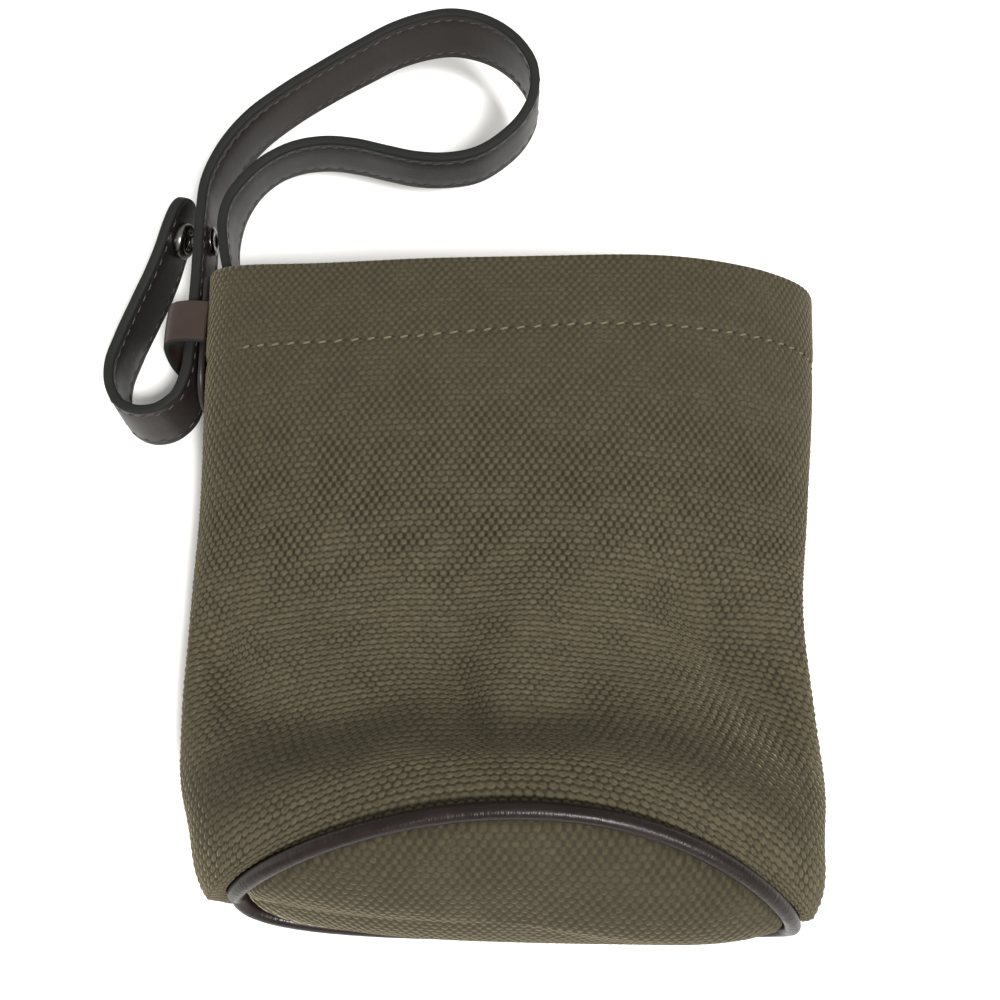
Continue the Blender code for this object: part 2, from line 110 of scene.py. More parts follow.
WALL = (
    WallRow(0.00, -1.4, 2.4, 20.5, 50.0, -57.0, 6.0, 17.5, 62.6, -0.6, 16.5, 2.1, 2.1, 2.5),
    WallRow(0.03, 2.5, 1.0, 25.0, 48.2, -61.8, 4.4, 16.2, 66.0, -0.4, 16.0, 2.1, 2.1, 2.9),
    WallRow(0.08, 9.0, 0.0, 31.2, 45.6, -66.2, 8.8, 15.2, 70.4, 5.8, 15.2, 2.2, 2.2, 3.4),
    WallRow(0.14, 18.0, 0.0, 35.6, 42.6, -69.2, 19.5, 15.5, 71.8, 16.5, 15.5, 2.4, 2.4, 3.8),
    WallRow(0.20, 27.0, 0.0, 43.6, 37.6, -71.8, 28.5, 16.0, 73.1, 26.5, 16.0, 2.6, 2.5, 4.0),
    WallRow(0.28, 39.0, 0.0, 53.3, 33.5, -73.2, 42.0, 17.0, 72.8, 42.0, 17.0, 2.6, 2.5, 4.0),
    WallRow(0.42, 60.0, 0.0, 70.0, 35.0, -74.0, 64.0, 17.0, 72.6, 67.0, 17.0, 2.5, 2.4, 4.0),
    WallRow(0.60, 89.0, 0.0, 97.0, 39.0, -74.4, 93.0, 17.0, 76.2, 93.0, 17.0, 2.4, 2.2, 4.0),
    WallRow(0.80, 121.0, 0.0, 126.0, 43.5, -75.6, 127.0, 17.0, 81.0, 125.0, 17.0, 3.2, 2.1, 4.0),
    WallRow(1.00, 155.0, 0.0, 152.0, 46.0, -77.0, 160.0, 16.0, 84.5, 157.0, 16.0, 3.5, 2.0, 4.0),
)


class Fold(NamedTuple):
    """One fold of the front: a soft trough, or a ridge where depth is negative."""

    x: float
    y: float
    turn: float                # direction of its length, degrees from +X
    half_length: float
    half_width: float
    depth: float


FOLDS = (
    Fold(-55.0, 45.6, -23.0, 23.2, 8.1, 4.6),    # left end of the crease above the base
    Fold(-29.3, 43.7, 3.0, 20.3, 8.1, 2.7),      # where it climbs towards the peak
    Fold(-18.0, 40.2, 36.0, 14.1, 5.2, -1.3),    # facet below the peak
    Fold(-7.4, 45.7, -63.0, 9.0, 3.3, 3.5),      # sharp edge from the peak to the corner
    Fold(8.1, 39.6, 15.0, 13.9, 5.5, 2.2),       # right of the corner
    Fold(-11.4, 56.3, 93.0, 24.2, 6.9, 2.3),     # soft groove that runs up from the peak
    Fold(5.7, 60.1, 72.0, 17.0, 8.4, -3.9),      # ridge beside the groove
    Fold(54.0, 60.0, 16.0, 28.0, 20.0, 5.2),     # broad hollow at the right
    Fold(47.2, 66.5, -58.0, 17.0, 8.9, 5.6),     # slanting fold across it
    Fold(59.9, 42.1, -40.0, 10.8, 7.7, 2.1),     # right end of the crease
    Fold(-68.4, 61.0, -41.0, 12.3, 6.2, 5.2),    # slanting fold at the left
    Fold(-49.1, 65.8, 10.0, 21.7, 14.5, 3.7),    # shallow hollow above the crease
    Fold(-48.0, 156.0, 0.0, 26.0, 34.0, 2.2),    # the mouth sinks a little on the left
    Fold(42.0, 158.0, 0.0, 26.0, 32.0, -2.2),    # and rises on the right
)


class HemPoint(NamedTuple):
    """One point of the hem's stitched line, which wanders a little round the mouth."""

    u: float                   # distance from the front's middle, to the right
    up: float                  # part of the wall's height


HEM_LINE = (
    HemPoint(-175.0, 0.850),
    HemPoint(-110.0, 0.842),
    HemPoint(-68.0, 0.835),
    HemPoint(-45.0, 0.832),
    HemPoint(-23.0, 0.836),
    HemPoint(-7.0, 0.846),
    HemPoint(21.0, 0.859),
    HemPoint(46.0, 0.861),
    HemPoint(73.0, 0.867),
    HemPoint(110.0, 0.862),
    HemPoint(175.0, 0.850),
)


def unit(vectors: Array) -> Array:
    """Scale each vector to length 1.

    Args:
        vectors: one vector, or rows of them.

    Returns:
        The same at length 1.
    """
    vectors = np.asarray(vectors, float)
    length = np.linalg.norm(vectors, axis=-1, keepdims=True)
    return vectors / np.maximum(length, 1e-9)


def square_to(vectors: Array, directions: Array) -> Array:
    """Take out of each vector its part along a unit direction, and make it a unit."""
    return unit(vectors - np.sum(vectors * directions, axis=1, keepdims=True) * directions)


def smooth_value(knots: Sequence[float], values: Array, where: Array) -> Array:
    """Cubic curve through the knots, with slopes taken from the neighbours.

    Args:
        knots: rising positions.
        values: a value or a row of values at each.
        where: position or positions asked for.

    Returns:
        The value or values there.
    """
    knots = np.asarray(knots, float)
    values = np.asarray(values, float)
    slopes = np.gradient(values, knots, axis=0)
    index = np.clip(np.searchsorted(knots, where) - 1, 0, len(knots) - 2)
    step = knots[index + 1] - knots[index]
    t = (where - knots[index]) / step
    shares = ((1 + 2 * t) * (1 - t) ** 2, t * (1 - t) ** 2 * step,
              t * t * (3 - 2 * t), t * t * (t - 1) * step)
    parts = (values[index], slopes[index], values[index + 1], slopes[index + 1])
    return sum((part.T * share).T for part, share in zip(parts, shares))


def soft_step(low: float, high: float, value: Array) -> Array:
    """Rise smoothly from 0 at low to 1 at high."""
    t = np.clip((np.asarray(value, float) - low) / (high - low), 0.0, 1.0)
    return t * t * (3 - 2 * t)


def running(points: Array) -> Array:
    """Distance of each point from the first, along the line through them."""
    steps = np.linalg.norm(np.diff(points, axis=0), axis=1)
    return np.concatenate([[0.0], np.cumsum(steps)])


def fold_depth(x: Array, y: Array) -> Array:
    """Depth of the front's folds at a place, in millimetres.

    Args:
        x: places across the pouch.
        y: places up it.

    Returns:
        The depth at each, below 0 on a ridge.
    """
    total = np.zeros_like(x)
    for fold in FOLDS:
        turn = math.radians(fold.turn)
        dx = x - fold.x
        dy = y - fold.y
        along = (dx * math.cos(turn) + dy * math.sin(turn)) / fold.half_length
        across = (dy * math.cos(turn) - dx * math.sin(turn)) / fold.half_width
        total += fold.depth * np.exp(-along ** 2 - across ** 2)
    return total


def power(values: Array, square: Array) -> Array:
    """Signed power that turns a circle's sine or cosine into a squarer one."""
    return np.sign(values) * np.abs(values) ** (2.0 / square)


class Loop:
    """A closed ring of fine points with the distance along it."""

    def __init__(self, points: Array) -> None:
        """Keep the points and measure them.

        Args:
            points: rows of X, Y and Z, the last a repeat of the first.
        """
        self.points = points
        self.lengths = running(points)
        self.total = float(self.lengths[-1])

    def at(self, distance: Array) -> Array:
        """Points at distances from the start, which run on past the end.

        Args:
            distance: one distance, or several.

        Returns:
            A point for each.
        """
        where = np.mod(distance, self.total)
        columns = [np.interp(where, self.lengths, self.points[:, axis]) for axis in range(3)]
        return np.stack(columns, axis=-1)

    def even(self, count: int) -> Array:
        """Evenly spaced points, without a repeated last one."""
        return self.at(np.arange(count) / count * self.total)


def closed(points: Array) -> Loop:
    """Make a loop of points that don't repeat the first."""
    return Loop(np.concatenate([points, points[:1]]))


class SeamLines(NamedTuple):
    """Points and directions round the base seam."""

    seam: Array
    above: Array
    to_wall: Array
    to_base: Array
    inward: Array
    wall_in: Array
    base_in: Array


@dataclass
class PouchForm:
    """The outside of the wall and of the base, as the cloth lies over the air inside."""

    seam_room: float = 2.1         # piping's middle to the cloth's edge
    first_level: float = 0.045     # the wall's first full section above its seam edge
    base_bulge: float = 7.3
    base_fullness: float = 3.0
    base_sag: float = 0.12         # how much fuller the base is towards its foot
    base_lean: float = 0.3         # and towards its right end
    back_press: float = 1.5        # how far the cloth would reach through the surface
    back_rests: float = 0.5        # where the back is lower than this
    fold_rise: float = 1.6         # the folds fade out towards the wall's sides
    edge_ring: float = 0.93        # the base's ring that shows how it leaves the seam
    inside_y: float = 40.0         # from the seam's middle to a point inside the pouch
    fine_points: int = 720
    ring_count: int = 480

    def section(self, up: float) -> Array:
        """Fine closed ring of the wall's outside, from the front's middle to the left.

        Args:
            up: part of the wall's height, 0 at the base seam and 1 at the rim.

        Returns:
            Points, the last a repeat of the first.
        """
        row = WallRow(up, *smooth_value([r.up for r in WALL], [r[1:] for r in WALL], up))
        angle = math.pi / 2 + np.linspace(0, 2 * math.pi, self.fine_points + 1)
        cosine = np.cos(angle)
        sine = np.sin(angle)
        front = sine > 0
        front_square = np.where(cosine < 0, row.left_square, row.right_square)
        square = np.where(front, front_square, row.back_square)
        side = power(cosine, square)
        rise = power(sine, square)
        x = (row.left_x + row.right_x) / 2 + (row.right_x - row.left_x) / 2 * side
        share = (side + 1) / 2
        side_y = row.left_y + (row.right_y - row.left_y) * share
        side_z = row.left_z + (row.right_z - row.left_z) * share
        press = self.back_press if row.back_z < self.back_rests else 0.0
        end_y = np.where(front, row.front_y, row.back_y)
        end_z = np.where(front, row.front_z, row.back_z - press)
        y = side_y + (end_y - side_y) * np.where(front, rise ** 2, np.abs(rise))
        z = side_z + (end_z - side_z) * np.abs(rise)
        fold = fold_depth(x, y) * np.clip(rise * self.fold_rise, 0, 1) ** 2
        return np.stack([x, y, np.maximum(np.where(front, z - fold, z), 0.0)], axis=1)

    def loop(self, up: float) -> Loop:
        """Section as a measured loop."""
        return Loop(self.section(up))

    def tall(self, seam: Array) -> Array:
        """Line from the base's foot to its top."""
        return seam[0] - seam[len(seam) // 2]

    def base_outward(self, seam: Array) -> Array:
        """Direction that the base faces."""
        outward = unit(np.cross(TO_RIGHT, unit(self.tall(seam))))
        return outward if outward[1] < 0 else -outward

    def dome(self, seam: Array, reach: float) -> Array:
        """Ring of the base.

        Args:
            seam: points of the base seam.
            reach: part of the way from the base's middle to the seam.

        Returns:
            A point for each of the seam's.
        """
        middle = seam.mean(axis=0)
        tall = self.tall(seam)
        flat = middle + (seam - middle) * reach
        low = np.clip(-((flat - middle) @ unit(tall)) / (np.linalg.norm(tall) / 2), -1, 1)
        right = (flat[:, 0] - middle[0]) / (np.ptp(seam[:, 0]) / 2)
        fuller = 1 + self.base_sag * low + self.base_lean * right
        bulge = self.base_bulge * (1 - reach ** self.base_fullness) * fuller
        return flat + bulge[:, None] * self.base_outward(seam)

    def seam_lines(self) -> SeamLines:
        """Seam ring with its directions along the wall, along the base and inwards.

        Returns:
            The lines, each with ring_count rows.
        """
        seam = self.loop(0.0).even(self.ring_count)
        above = self.loop(self.first_level).even(self.ring_count)
        along = unit(np.roll(seam, -1, axis=0) - np.roll(seam, 1, axis=0))
        to_wall = square_to(above - seam, along)
        to_base = square_to(self.dome(seam, self.edge_ring) - seam, along)
        inside = seam.mean(axis=0) + np.array([0.0, self.inside_y, 0.0]) - seam
        turned = []
        for direction in (to_wall, to_base):
            side = np.cross(along, direction)
            turned.append(side * np.sign(np.sum(side * inside, axis=1, keepdims=True)))
        return SeamLines(seam, above, to_wall, to_base, unit(turned[0] + turned[1]), *turned)


def to_frame(points: Array) -> Array:
    """Turn pouch millimetres into metres about the origin under the back."""
    return (np.asarray(points, float).reshape(-1, 3) - np.array([0.0, ORIGIN_Y, 0.0])) * MM


def make_piece(name: str, points: Array, faces: Faces, cloth: Array,
               weld: bool = False) -> bpy.types.Object:
    """Make an object from points in pouch millimetres.

    Args:
        name: the piece's name.
        points: rows of X, Y and Z.
        faces: rows of point numbers.
        cloth: place of each point on the flat material, in millimetres, for the UV map.
        weld: join points that coincide, as where a tube of cloth closes.

    Returns:
        The object, smooth shaded, with its faces pointing out.
    """
    mesh = bpy.data.meshes.new(name)
    mesh.from_pydata(to_frame(points).tolist(), [], faces)
    layer = mesh.uv_layers.new(name=CLOTH_MAP)
    corner = np.empty(len(mesh.loops), np.int32)
    mesh.loops.foreach_get("vertex_index", corner)
    layer.data.foreach_set("uv", (cloth.reshape(-1, 2)[corner] / UV_UNIT).ravel())
    work = bmesh.new()
    work.from_mesh(mesh)
    if weld:
        bmesh.ops.remove_doubles(work, verts=work.verts, dist=0.002 * MM)
    bmesh.ops.recalc_face_normals(work, faces=work.faces)
    work.to_mesh(mesh)
    work.free()
    mesh.shade_smooth()
    obj = bpy.data.objects.new(name, mesh)
    bpy.context.scene.collection.objects.link(obj)
    return obj


class Row(NamedTuple):
    """A line of points round a piece, with their keys, which rise along it."""

    points: Array
    keys: Array
    cloth: Array


class RowSkin:
    """A surface joined from rows of points that may differ in number."""

    def __init__(self) -> None:
        """Start with no rows."""
        self.rows: list[Row] = []
        self.starts: list[int] = [0]
        self.faces: Faces = []

    def add(self, row: Row) -> None:
        """Add a row and join it to the one before.

        Args:
            row: the next row.
        """
        self.rows.append(row)
        self.starts.append(self.starts[-1] + len(row.points))
        if len(self.rows) > 1:
            self.join(len(self.rows) - 2, len(self.rows) - 1)

    def join(self, low: int, high: int) -> None:
        """Fill the strip between two rows: squares where keys agree, or else triangles.

        Args:
            low: number of one row.
            high: number of the other.
        """
        lows = np.append(self.rows[low].keys, math.inf)
        highs = np.append(self.rows[high].keys, math.inf)
        near = 0.45 * min(np.median(np.diff(lows[:-1])), np.median(np.diff(highs[:-1])))
        i = self.starts[low]
        j = self.starts[high]
        while i < self.starts[low + 1] - 1 or j < self.starts[high + 1] - 1:
            gap = lows[i + 1 - self.starts[low]] - highs[j + 1 - self.starts[high]]
            face = [i]
            last = j
            if gap < near:
                i += 1
                face.append(i)
            if gap > -near:
                j += 1
                face.append(j)
            self.faces.append((*face, last))

    def piece(self, name: str) -> bpy.types.Object:
        """Make the object, welded where the rows meet themselves.

        Args:
            name: the piece's name.

        Returns:
            The object.
        """
        points = np.concatenate([row.points for row in self.rows])
        cloth = np.concatenate([row.cloth for row in self.rows])
        return make_piece(name, points, self.faces, cloth, weld=True)


def grid_faces(rows: int, columns: int, rings: bool = False) -> Faces:
    """Squares between the points of an even grid.

    Args:
        rows: lines of points.
        columns: points in each.
        rings: join each line's last point to its first.

    Returns:
        Rows of four point numbers.
    """
    faces = []
    for low in range(0, (rows - 1) * columns, columns):
        high = low + columns
        for column in range(columns if rings else columns - 1):
            right = (column + 1) % columns
            faces.append((low + column, low + right, high + right, high + column))
    return faces


def tube_faces(rows: int, columns: int) -> Faces:
    """Squares of a tube of closed rings, and then a face over each end."""
    ends = [tuple(row * columns + k for k in range(columns)) for row in (0, rows - 1)]
    return grid_faces(rows, columns, rings=True) + ends


def linear(color: str) -> tuple[float, float, float, float]:
    """Turn an sRGB hex colour into linear red, green, blue and alpha 1.

    Args:
        color: a hash and six hex digits.

    Returns:
        The four values.
    """
    values = []
    for start in (1, 3, 5):
        value = int(color[start:start + 2], 16) / 255
        values.append(value / 12.92 if value <= 0.04045 else ((value + 0.055) / 1.055) ** 2.4)
    return (*values, 1.0)


class Nodes:
    """Nodes of one material, which end in its Principled shader."""

    def __init__(self, name: str) -> None:
        """Start a material.

        Args:
            name: the material's name.
        """
        self.material = bpy.data.materials.new(name)
        self.material.use_nodes = True
        self.tree = self.material.node_tree

    def fill(self, node: bpy.types.Node, inputs: Union[dict, Sequence]) -> None:
        """Give sockets of a node, by name, number or order, a value or what feeds them.

        Args:
            node: the node.
            inputs: values and outputs, by name or number, or in order.
        """
        pairs = inputs.items() if isinstance(inputs, dict) else enumerate(inputs)
        for key, value in pairs:
            if isinstance(value, Socket):
                self.tree.links.new(value, node.inputs[key])
            else:
                node.inputs[key].default_value = value

    def add(self, kind: str, inputs: Union[dict, Sequence] = (), out: Union[int, str] = 0,
            **settings: object) -> Socket:
        """Add a node, set its properties and fill its sockets.

        Args:
            kind: Blender's name for the node, after ShaderNode.
            inputs: what fill takes.
            out: name or number of the output that is wanted.
            settings: the node's own properties.

        Returns:
            That output.
        """
        node = self.tree.nodes.new("ShaderNode" + kind)
        for name, value in settings.items():
            setattr(node, name, value)
        self.fill(node, inputs)
        return node.outputs[out]

    def shade(self, inputs: dict) -> bpy.types.Material:
        """Fill the Principled shader's sockets and return the material."""
        self.fill(self.tree.nodes["Principled BSDF"], inputs)
        return self.material


@dataclass(frozen=True)
class CottonCanvas:
    """Heavy cotton duck, woven from thick two-ply yarn and dyed olive.

    It gives the eye rows of round matt yarn bumps, lighter on top and dark in the gaps,
    with a soft bloom of fibre where the cloth turns away. The dark gaps are painted shade,
    and the lighter worn colour on the highest tops is partly wear and partly painted
    highlight. Spans say between which places up the cloth, in UV_UNIT millimetres, a change
    takes place.
    """

    name: str = "olive cotton duck"
    yarn: str = "#3f3a2c"
    # the gap colour is painted shade between the yarns; the worn colour on the highest tops is
    # partly wear and partly painted highlight
    gap: str = "#17140d"
    worn: str = "#554e3c"
    yarn_height: float = 0.4       # millimetres
    lit: Span = (0.28, 0.85)       # between the darkest and the lightest height
    hem_height: float = 0.85       # and the part of it that is left towards the hem
    flatter: Span = (0.75, 1.25)
    joined: Span = (0.9, 1.8)      # how far the bumps of a row join, least and most
    apart: float = 0.8             # how much less they do towards the hem
    rounder: Span = (0.55, 0.9)
    shift: float = 0.3             # how far the yarns wander, millimetres
    wander: float = 2.4            # grain of each noise, millimetres
    beat: float = 9.0
    fibre: float = 0.45
    rub: float = 1.4
    lint: float = 0.3
    cloud: float = 24.0
    cloudy: float = 0.06           # how much lighter or darker the clouds are
    fuzz: float = 0.10             # and single fibres
    mean: float = 0.76             # the yarns' mean height, which calm cloth keeps to
    calm: float = 0.72             # how much of the contrast is lost towards the hem
    calmer: Span = (0.7, 1.2)
    crease_at: float = 0.2         # the crease above the base is calm too
    crease_fades: Span = (0.03, 0.11)
    crease_calm: float = 0.45
    crease_painted_shade: float = 0.55      # painted shade darkens it by as much of its calm
    roughness: float = 0.92
    sheen: float = 0.4
    sheen_roughness: float = 0.3
    sheen_tint: str = "#d9cba6"

    def build(self) -> bpy.types.Material:
        """Set up the nodes.

        Returns:
            The material.
        """
        nodes = Nodes(self.name)
        flat = nodes.add("UVMap", uv_map=CLOTH_MAP)
        up = nodes.add("SeparateXYZ", [flat], 1)
        wander = nodes.add("TexNoise", {"Vector": flat, "Scale": UV_UNIT / self.wander}, "Color")
        centred = nodes.add("VectorMath", [wander, (0.5, 0.5, 0.5)], operation="SUBTRACT")
        cloth = nodes.add("VectorMath", [centred, (2 * self.shift / UV_UNIT,) * 3, flat],
                          operation="MULTIPLY_ADD")
        fibre = nodes.add("TexNoise", {"Vector": cloth, "Scale": UV_UNIT / self.fibre,
                                       "Roughness": 0.6})
        ragged = nodes.add("Math", [fibre, 0.5, self.yarns(nodes, flat, up, cloth)],
                           operation="MULTIPLY_ADD")
        light = nodes.add("MapRange", [ragged, *self.lit, 0.0, 1.0])
        high = self.yarn_height * MM
        height = nodes.add("MapRange", [up, *self.flatter, high, self.hem_height * high])
        relief = nodes.add("Bump", {"Height": ragged, "Strength": 0.8, "Distance": height})
        return nodes.shade({"Base Color": self.dye(nodes, flat, up, cloth, light),
                            "Normal": relief, "Roughness": self.roughness,
                            "Specular IOR Level": 0.15, "Sheen Weight": self.sheen,
                            "Sheen Roughness": self.sheen_roughness,
                            "Sheen Tint": linear(self.sheen_tint)})

    def yarns(self, nodes: Nodes, flat: Socket, up: Socket, cloth: Socket) -> Socket:
        """Draw the yarns.

        Args:
            nodes: the material's nodes.
            flat: place on the cloth.
            up: distance up the cloth.
            cloth: place on the cloth, pushed about a little as the yarns wander.

        Returns:
            Their height, from 0 in the gaps to 1 on top of a crossing.
        """
        waves = []
        for axis, pitch in enumerate((THREAD_ACROSS, THREAD_ALONG)):
            place = nodes.add("SeparateXYZ", [cloth], axis)
            phase = nodes.add("Math", [place, UV_UNIT / pitch * math.pi], operation="MULTIPLY")
            waves.append(nodes.add("Math", [phase], operation="COSINE"))
        knots = nodes.add("Math", waves, operation="MULTIPLY")
        row = nodes.add("Math", [waves[1], waves[1]], operation="MULTIPLY")
        beat = nodes.add("TexNoise", {"Vector": flat, "Scale": UV_UNIT / self.beat})
        joined = nodes.add("MapRange", [beat, 0.35, 0.65, *self.joined])
        apart = nodes.add("MapRange", [up, *self.rounder, 0.0, self.apart])
        share = nodes.add("Math", [joined, apart], operation="SUBTRACT")
        bump = nodes.add("Math", [row, share, knots], operation="MULTIPLY_ADD")
        return nodes.add("MapRange", [bump, -1.0, 1.45, 0.0, 1.0],
                         interpolation_type="SMOOTHSTEP")

    def dye(self, nodes: Nodes, flat: Socket, up: Socket, cloth: Socket,
            light: Socket) -> Socket:
        """Colour the cloth: painted shade in the gaps, a worn colour on the highest tops here
        and there that is partly wear and partly painted highlight, painted shade in the crease,
        and slightly cloudy.

        Args:
            nodes: the material's nodes.
            flat: place on the cloth.
            up: distance up the cloth.
            cloth: place on the cloth as the yarns wander.
            light: how high the yarns lie.

        Returns:
            The colour.
        """
        hem = nodes.add("MapRange", [up, *self.calmer, 0.0, self.calm])
        off = nodes.add("Math", [up, self.crease_at], operation="SUBTRACT")
        near = nodes.add("Math", [off], operation="ABSOLUTE")
        crease = nodes.add("MapRange", [near, *self.crease_fades, self.crease_calm, 0.0])
        calm = nodes.add("Math", [hem, crease], operation="ADD")
        level = nodes.add("Math", [self.mean, light], operation="SUBTRACT")
        faint = nodes.add("Math", [level, calm, light], operation="MULTIPLY_ADD")
        color = nodes.add("Mix", {"Factor": faint, "A": linear(self.gap),
                                  "B": linear(self.yarn)}, "Result", data_type="RGBA")
        rub = nodes.add("TexNoise", {"Vector": cloth, "Scale": UV_UNIT / self.rub})
        wear = nodes.add("MapRange", [rub, 0.35, 0.7, 0.1, 1.0])
        # the highest yarn tops take the worn colour where the rub noise allows: partly wear,
        # partly painted highlight
        top = nodes.add("MapRange", [faint, 0.65, 1.05, 0.0, 1.0])
        worn = nodes.add("Math", [wear, top], operation="MULTIPLY")
        color = nodes.add("Mix", {"Factor": worn, "A": color, "B": linear(self.worn)},
                          "Result", data_type="RGBA")
        cloud = nodes.add("TexNoise", {"Vector": cloth, "Scale": UV_UNIT / self.cloud,
                                       "Detail": 4.0, "Roughness": 0.6})
        tone = nodes.add("MapRange", [cloud, 0.3, 0.7, 1 - self.cloudy, 1 + self.cloudy])
        lint = nodes.add("TexNoise", {"Vector": flat, "Scale": UV_UNIT / self.lint,
                                      "Detail": 1.0})
        grain = nodes.add("MapRange", [lint, 0.3, 0.7, 1 - self.fuzz, 1 + self.fuzz])
        # painted shade: the crease is darkened by as much of its calm
        handled = nodes.add("Math", [crease, -self.crease_painted_shade, 1.0],
                            operation="MULTIPLY_ADD")
        for part in (grain, handled):
            tone = nodes.add("Math", [tone, part], operation="MULTIPLY")
        return nodes.add("VectorMath", {0: color, 3: tone}, operation="SCALE")


@dataclass(frozen=True)
class BridleLeather:
    """Vegetable-tanned leather, dyed through, waxed and pressed smooth.

    It gives the eye a soft satin sheen over a fine pebbled grain, with small cross
    wrinkles where it bends.
    """

    name: str
    color: str
    worn: str
    grain: float = 0.55            # spacing of the pebbles, millimetres
    grain_height: float = 0.05
    wrinkle: float = 1.6           # spacing of the cross wrinkles, millimetres
    wrinkle_height: float = 0.08
    wrinkle_length: float = 0.16   # their scale across the strap
    cloud: float = 14.0            # size of the worn patches, millimetres
    roughness: float = 0.42
    roughness_spread: float = 0.12
    specular: float = 0.3

    def build(self) -> bpy.types.Material:
        """Set up the nodes.

        Returns:
            The material.
        """
        nodes = Nodes(self.name)
        hide = nodes.add("UVMap", uv_map=CLOTH_MAP)
        pebbles = nodes.add("TexVoronoi", {"Vector": hide, "Scale": UV_UNIT / self.grain},
                            feature="SMOOTH_F1")
        cross = nodes.add("Mapping", {"Vector": hide, "Scale": (1.0, self.wrinkle_length, 1.0)})
        wrinkles = nodes.add("TexNoise", {"Vector": cross, "Scale": UV_UNIT / self.wrinkle,
                                          "Detail": 3.0, "Roughness": 0.55})
        cloud = nodes.add("TexNoise", {"Vector": hide, "Scale": UV_UNIT / self.cloud,
                                       "Detail": 5.0, "Roughness": 0.62})
        worn = nodes.add("MapRange", [cloud, 0.35, 0.72, 0.0, 1.0])
        color = nodes.add("Mix", {"Factor": worn, "A": linear(self.color),
                                  "B": linear(self.worn)}, "Result", data_type="RGBA")
        half = self.roughness_spread / 2
        gloss = nodes.add("MapRange", [cloud, 0.3, 0.7, self.roughness - half,
                                       self.roughness + half])
        fine = nodes.add("Bump", {"Height": pebbles, "Strength": 0.6,
                                  "Distance": self.grain_height * MM})
        relief = nodes.add("Bump", {"Height": wrinkles, "Strength": 0.8, "Normal": fine,
                                    "Distance": self.wrinkle_height * MM})
        return nodes.shade({"Base Color": color, "Roughness": gloss, "Normal": relief,
                            "Specular IOR Level": self.specular})


@dataclass(frozen=True)
class EdgePaint:
    """Acrylic edge paint, brushed over a sanded cut edge in several coats.

    It gives the eye a matt near-black line with a faint ripple from the sanding.
    """

    name: str = "black edge paint"
    color: str = "#131512"
    thin: str = "#1c1d19"
    ripple: float = 0.9            # millimetres
    ripple_height: float = 0.12
    roughness: float = 0.75

    def build(self) -> bpy.types.Material:
        """Set up the nodes.

        Returns:
            The material.
        """
        nodes = Nodes(self.name)
        edge = nodes.add("UVMap", uv_map=CLOTH_MAP)
        long = nodes.add("Mapping", {"Vector": edge, "Scale": (0.3, 1.0, 1.0)})
        ripple = nodes.add("TexNoise", {"Vector": long, "Scale": UV_UNIT / self.ripple,
                                        "Detail": 3.0})
        color = nodes.add("Mix", {"Factor": ripple, "A": linear(self.color),
                                  "B": linear(self.thin)}, "Result", data_type="RGBA")
        relief = nodes.add("Bump", {"Height": ripple, "Strength": 0.5,
                                    "Distance": self.ripple_height * MM})
        return nodes.shade({"Base Color": color, "Roughness": self.roughness,
                            "Normal": relief, "Specular IOR Level": 0.25})


@dataclass(frozen=True)
class WaxedThread:
    """Twisted polyester thread, waxed.

    It gives the eye a small bright ridge on each stitch, striped by the twist.
    """

    name: str
    color: str
    shade: str
    twist: float = 0.55            # length of one turn of the twist, millimetres
    ply_height: float = 0.06
    roughness: float = 0.5

    def build(self) -> bpy.types.Material:
        """Set up the nodes.

        Returns:
            The material.
        """
        nodes = Nodes(self.name)
        thread = nodes.add("UVMap", uv_map=CLOTH_MAP)
        sides = [nodes.add("SeparateXYZ", [thread], axis) for axis in (0, 1)]
        slant = nodes.add("Math", sides, operation="ADD")
        phase = nodes.add("Math", [slant, 2 * math.pi * UV_UNIT / self.twist],
                          operation="MULTIPLY")
        ply = nodes.add("Math", [phase], operation="SINE")
        share = nodes.add("MapRange", [ply, -1.0, 0.4, 0.0, 1.0])
        # the twist's grooves take the shade colour: painted shade between the plies
        color = nodes.add("Mix", {"Factor": share, "A": linear(self.shade),
                                  "B": linear(self.color)}, "Result", data_type="RGBA")
        relief = nodes.add("Bump", {"Height": ply, "Strength": 0.5,
                                    "Distance": self.ply_height * MM})
        return nodes.shade({"Base Color": color, "Roughness": self.roughness,
                            "Normal": relief})


@dataclass(frozen=True)
class NickelPlate:
    """Bright nickel over stamped brass, barrel polished.

    It gives the eye sharp white glints, slightly warm, with faint handling marks. Its colour
    is darkened: painted shade for the dark leather round it, which it reflects.
    """

    name: str = "nickel plate"
    # darker than bright nickel: painted shade for the dark leather that it reflects
    color: str = "#6f6c66"
    marks: float = 900.0           # handling marks to a metre
    polished: float = 0.18
    handled: float = 0.34

    def build(self) -> bpy.types.Material:
        """Set up the nodes.

        Returns:
            The material.
        """
        nodes = Nodes(self.name)
        place = nodes.add("TexCoord", out="Object")
        marks = nodes.add("TexNoise", {"Vector": place, "Scale": self.marks, "Detail": 4.0})
        gloss = nodes.add("MapRange", [marks, 0.3, 0.7, self.polished, self.handled])
        return nodes.shade({"Base Color": linear(self.color), "Roughness": gloss,
                            "Metallic": 1.0})


@dataclass(frozen=True)
class PaperSweep:
    """Matt white background paper, which the studio rolls out under the object."""

    name: str = "white paper sweep"
    color: str = "#f4f3ef"
    roughness: float = 0.9

    def build(self) -> bpy.types.Material:
        """Set up the nodes.

        Returns:
            The material.
        """
        return Nodes(self.name).shade({"Base Color": linear(self.color),
                                       "Roughness": self.roughness,
                                       "Specular IOR Level": 0.1})


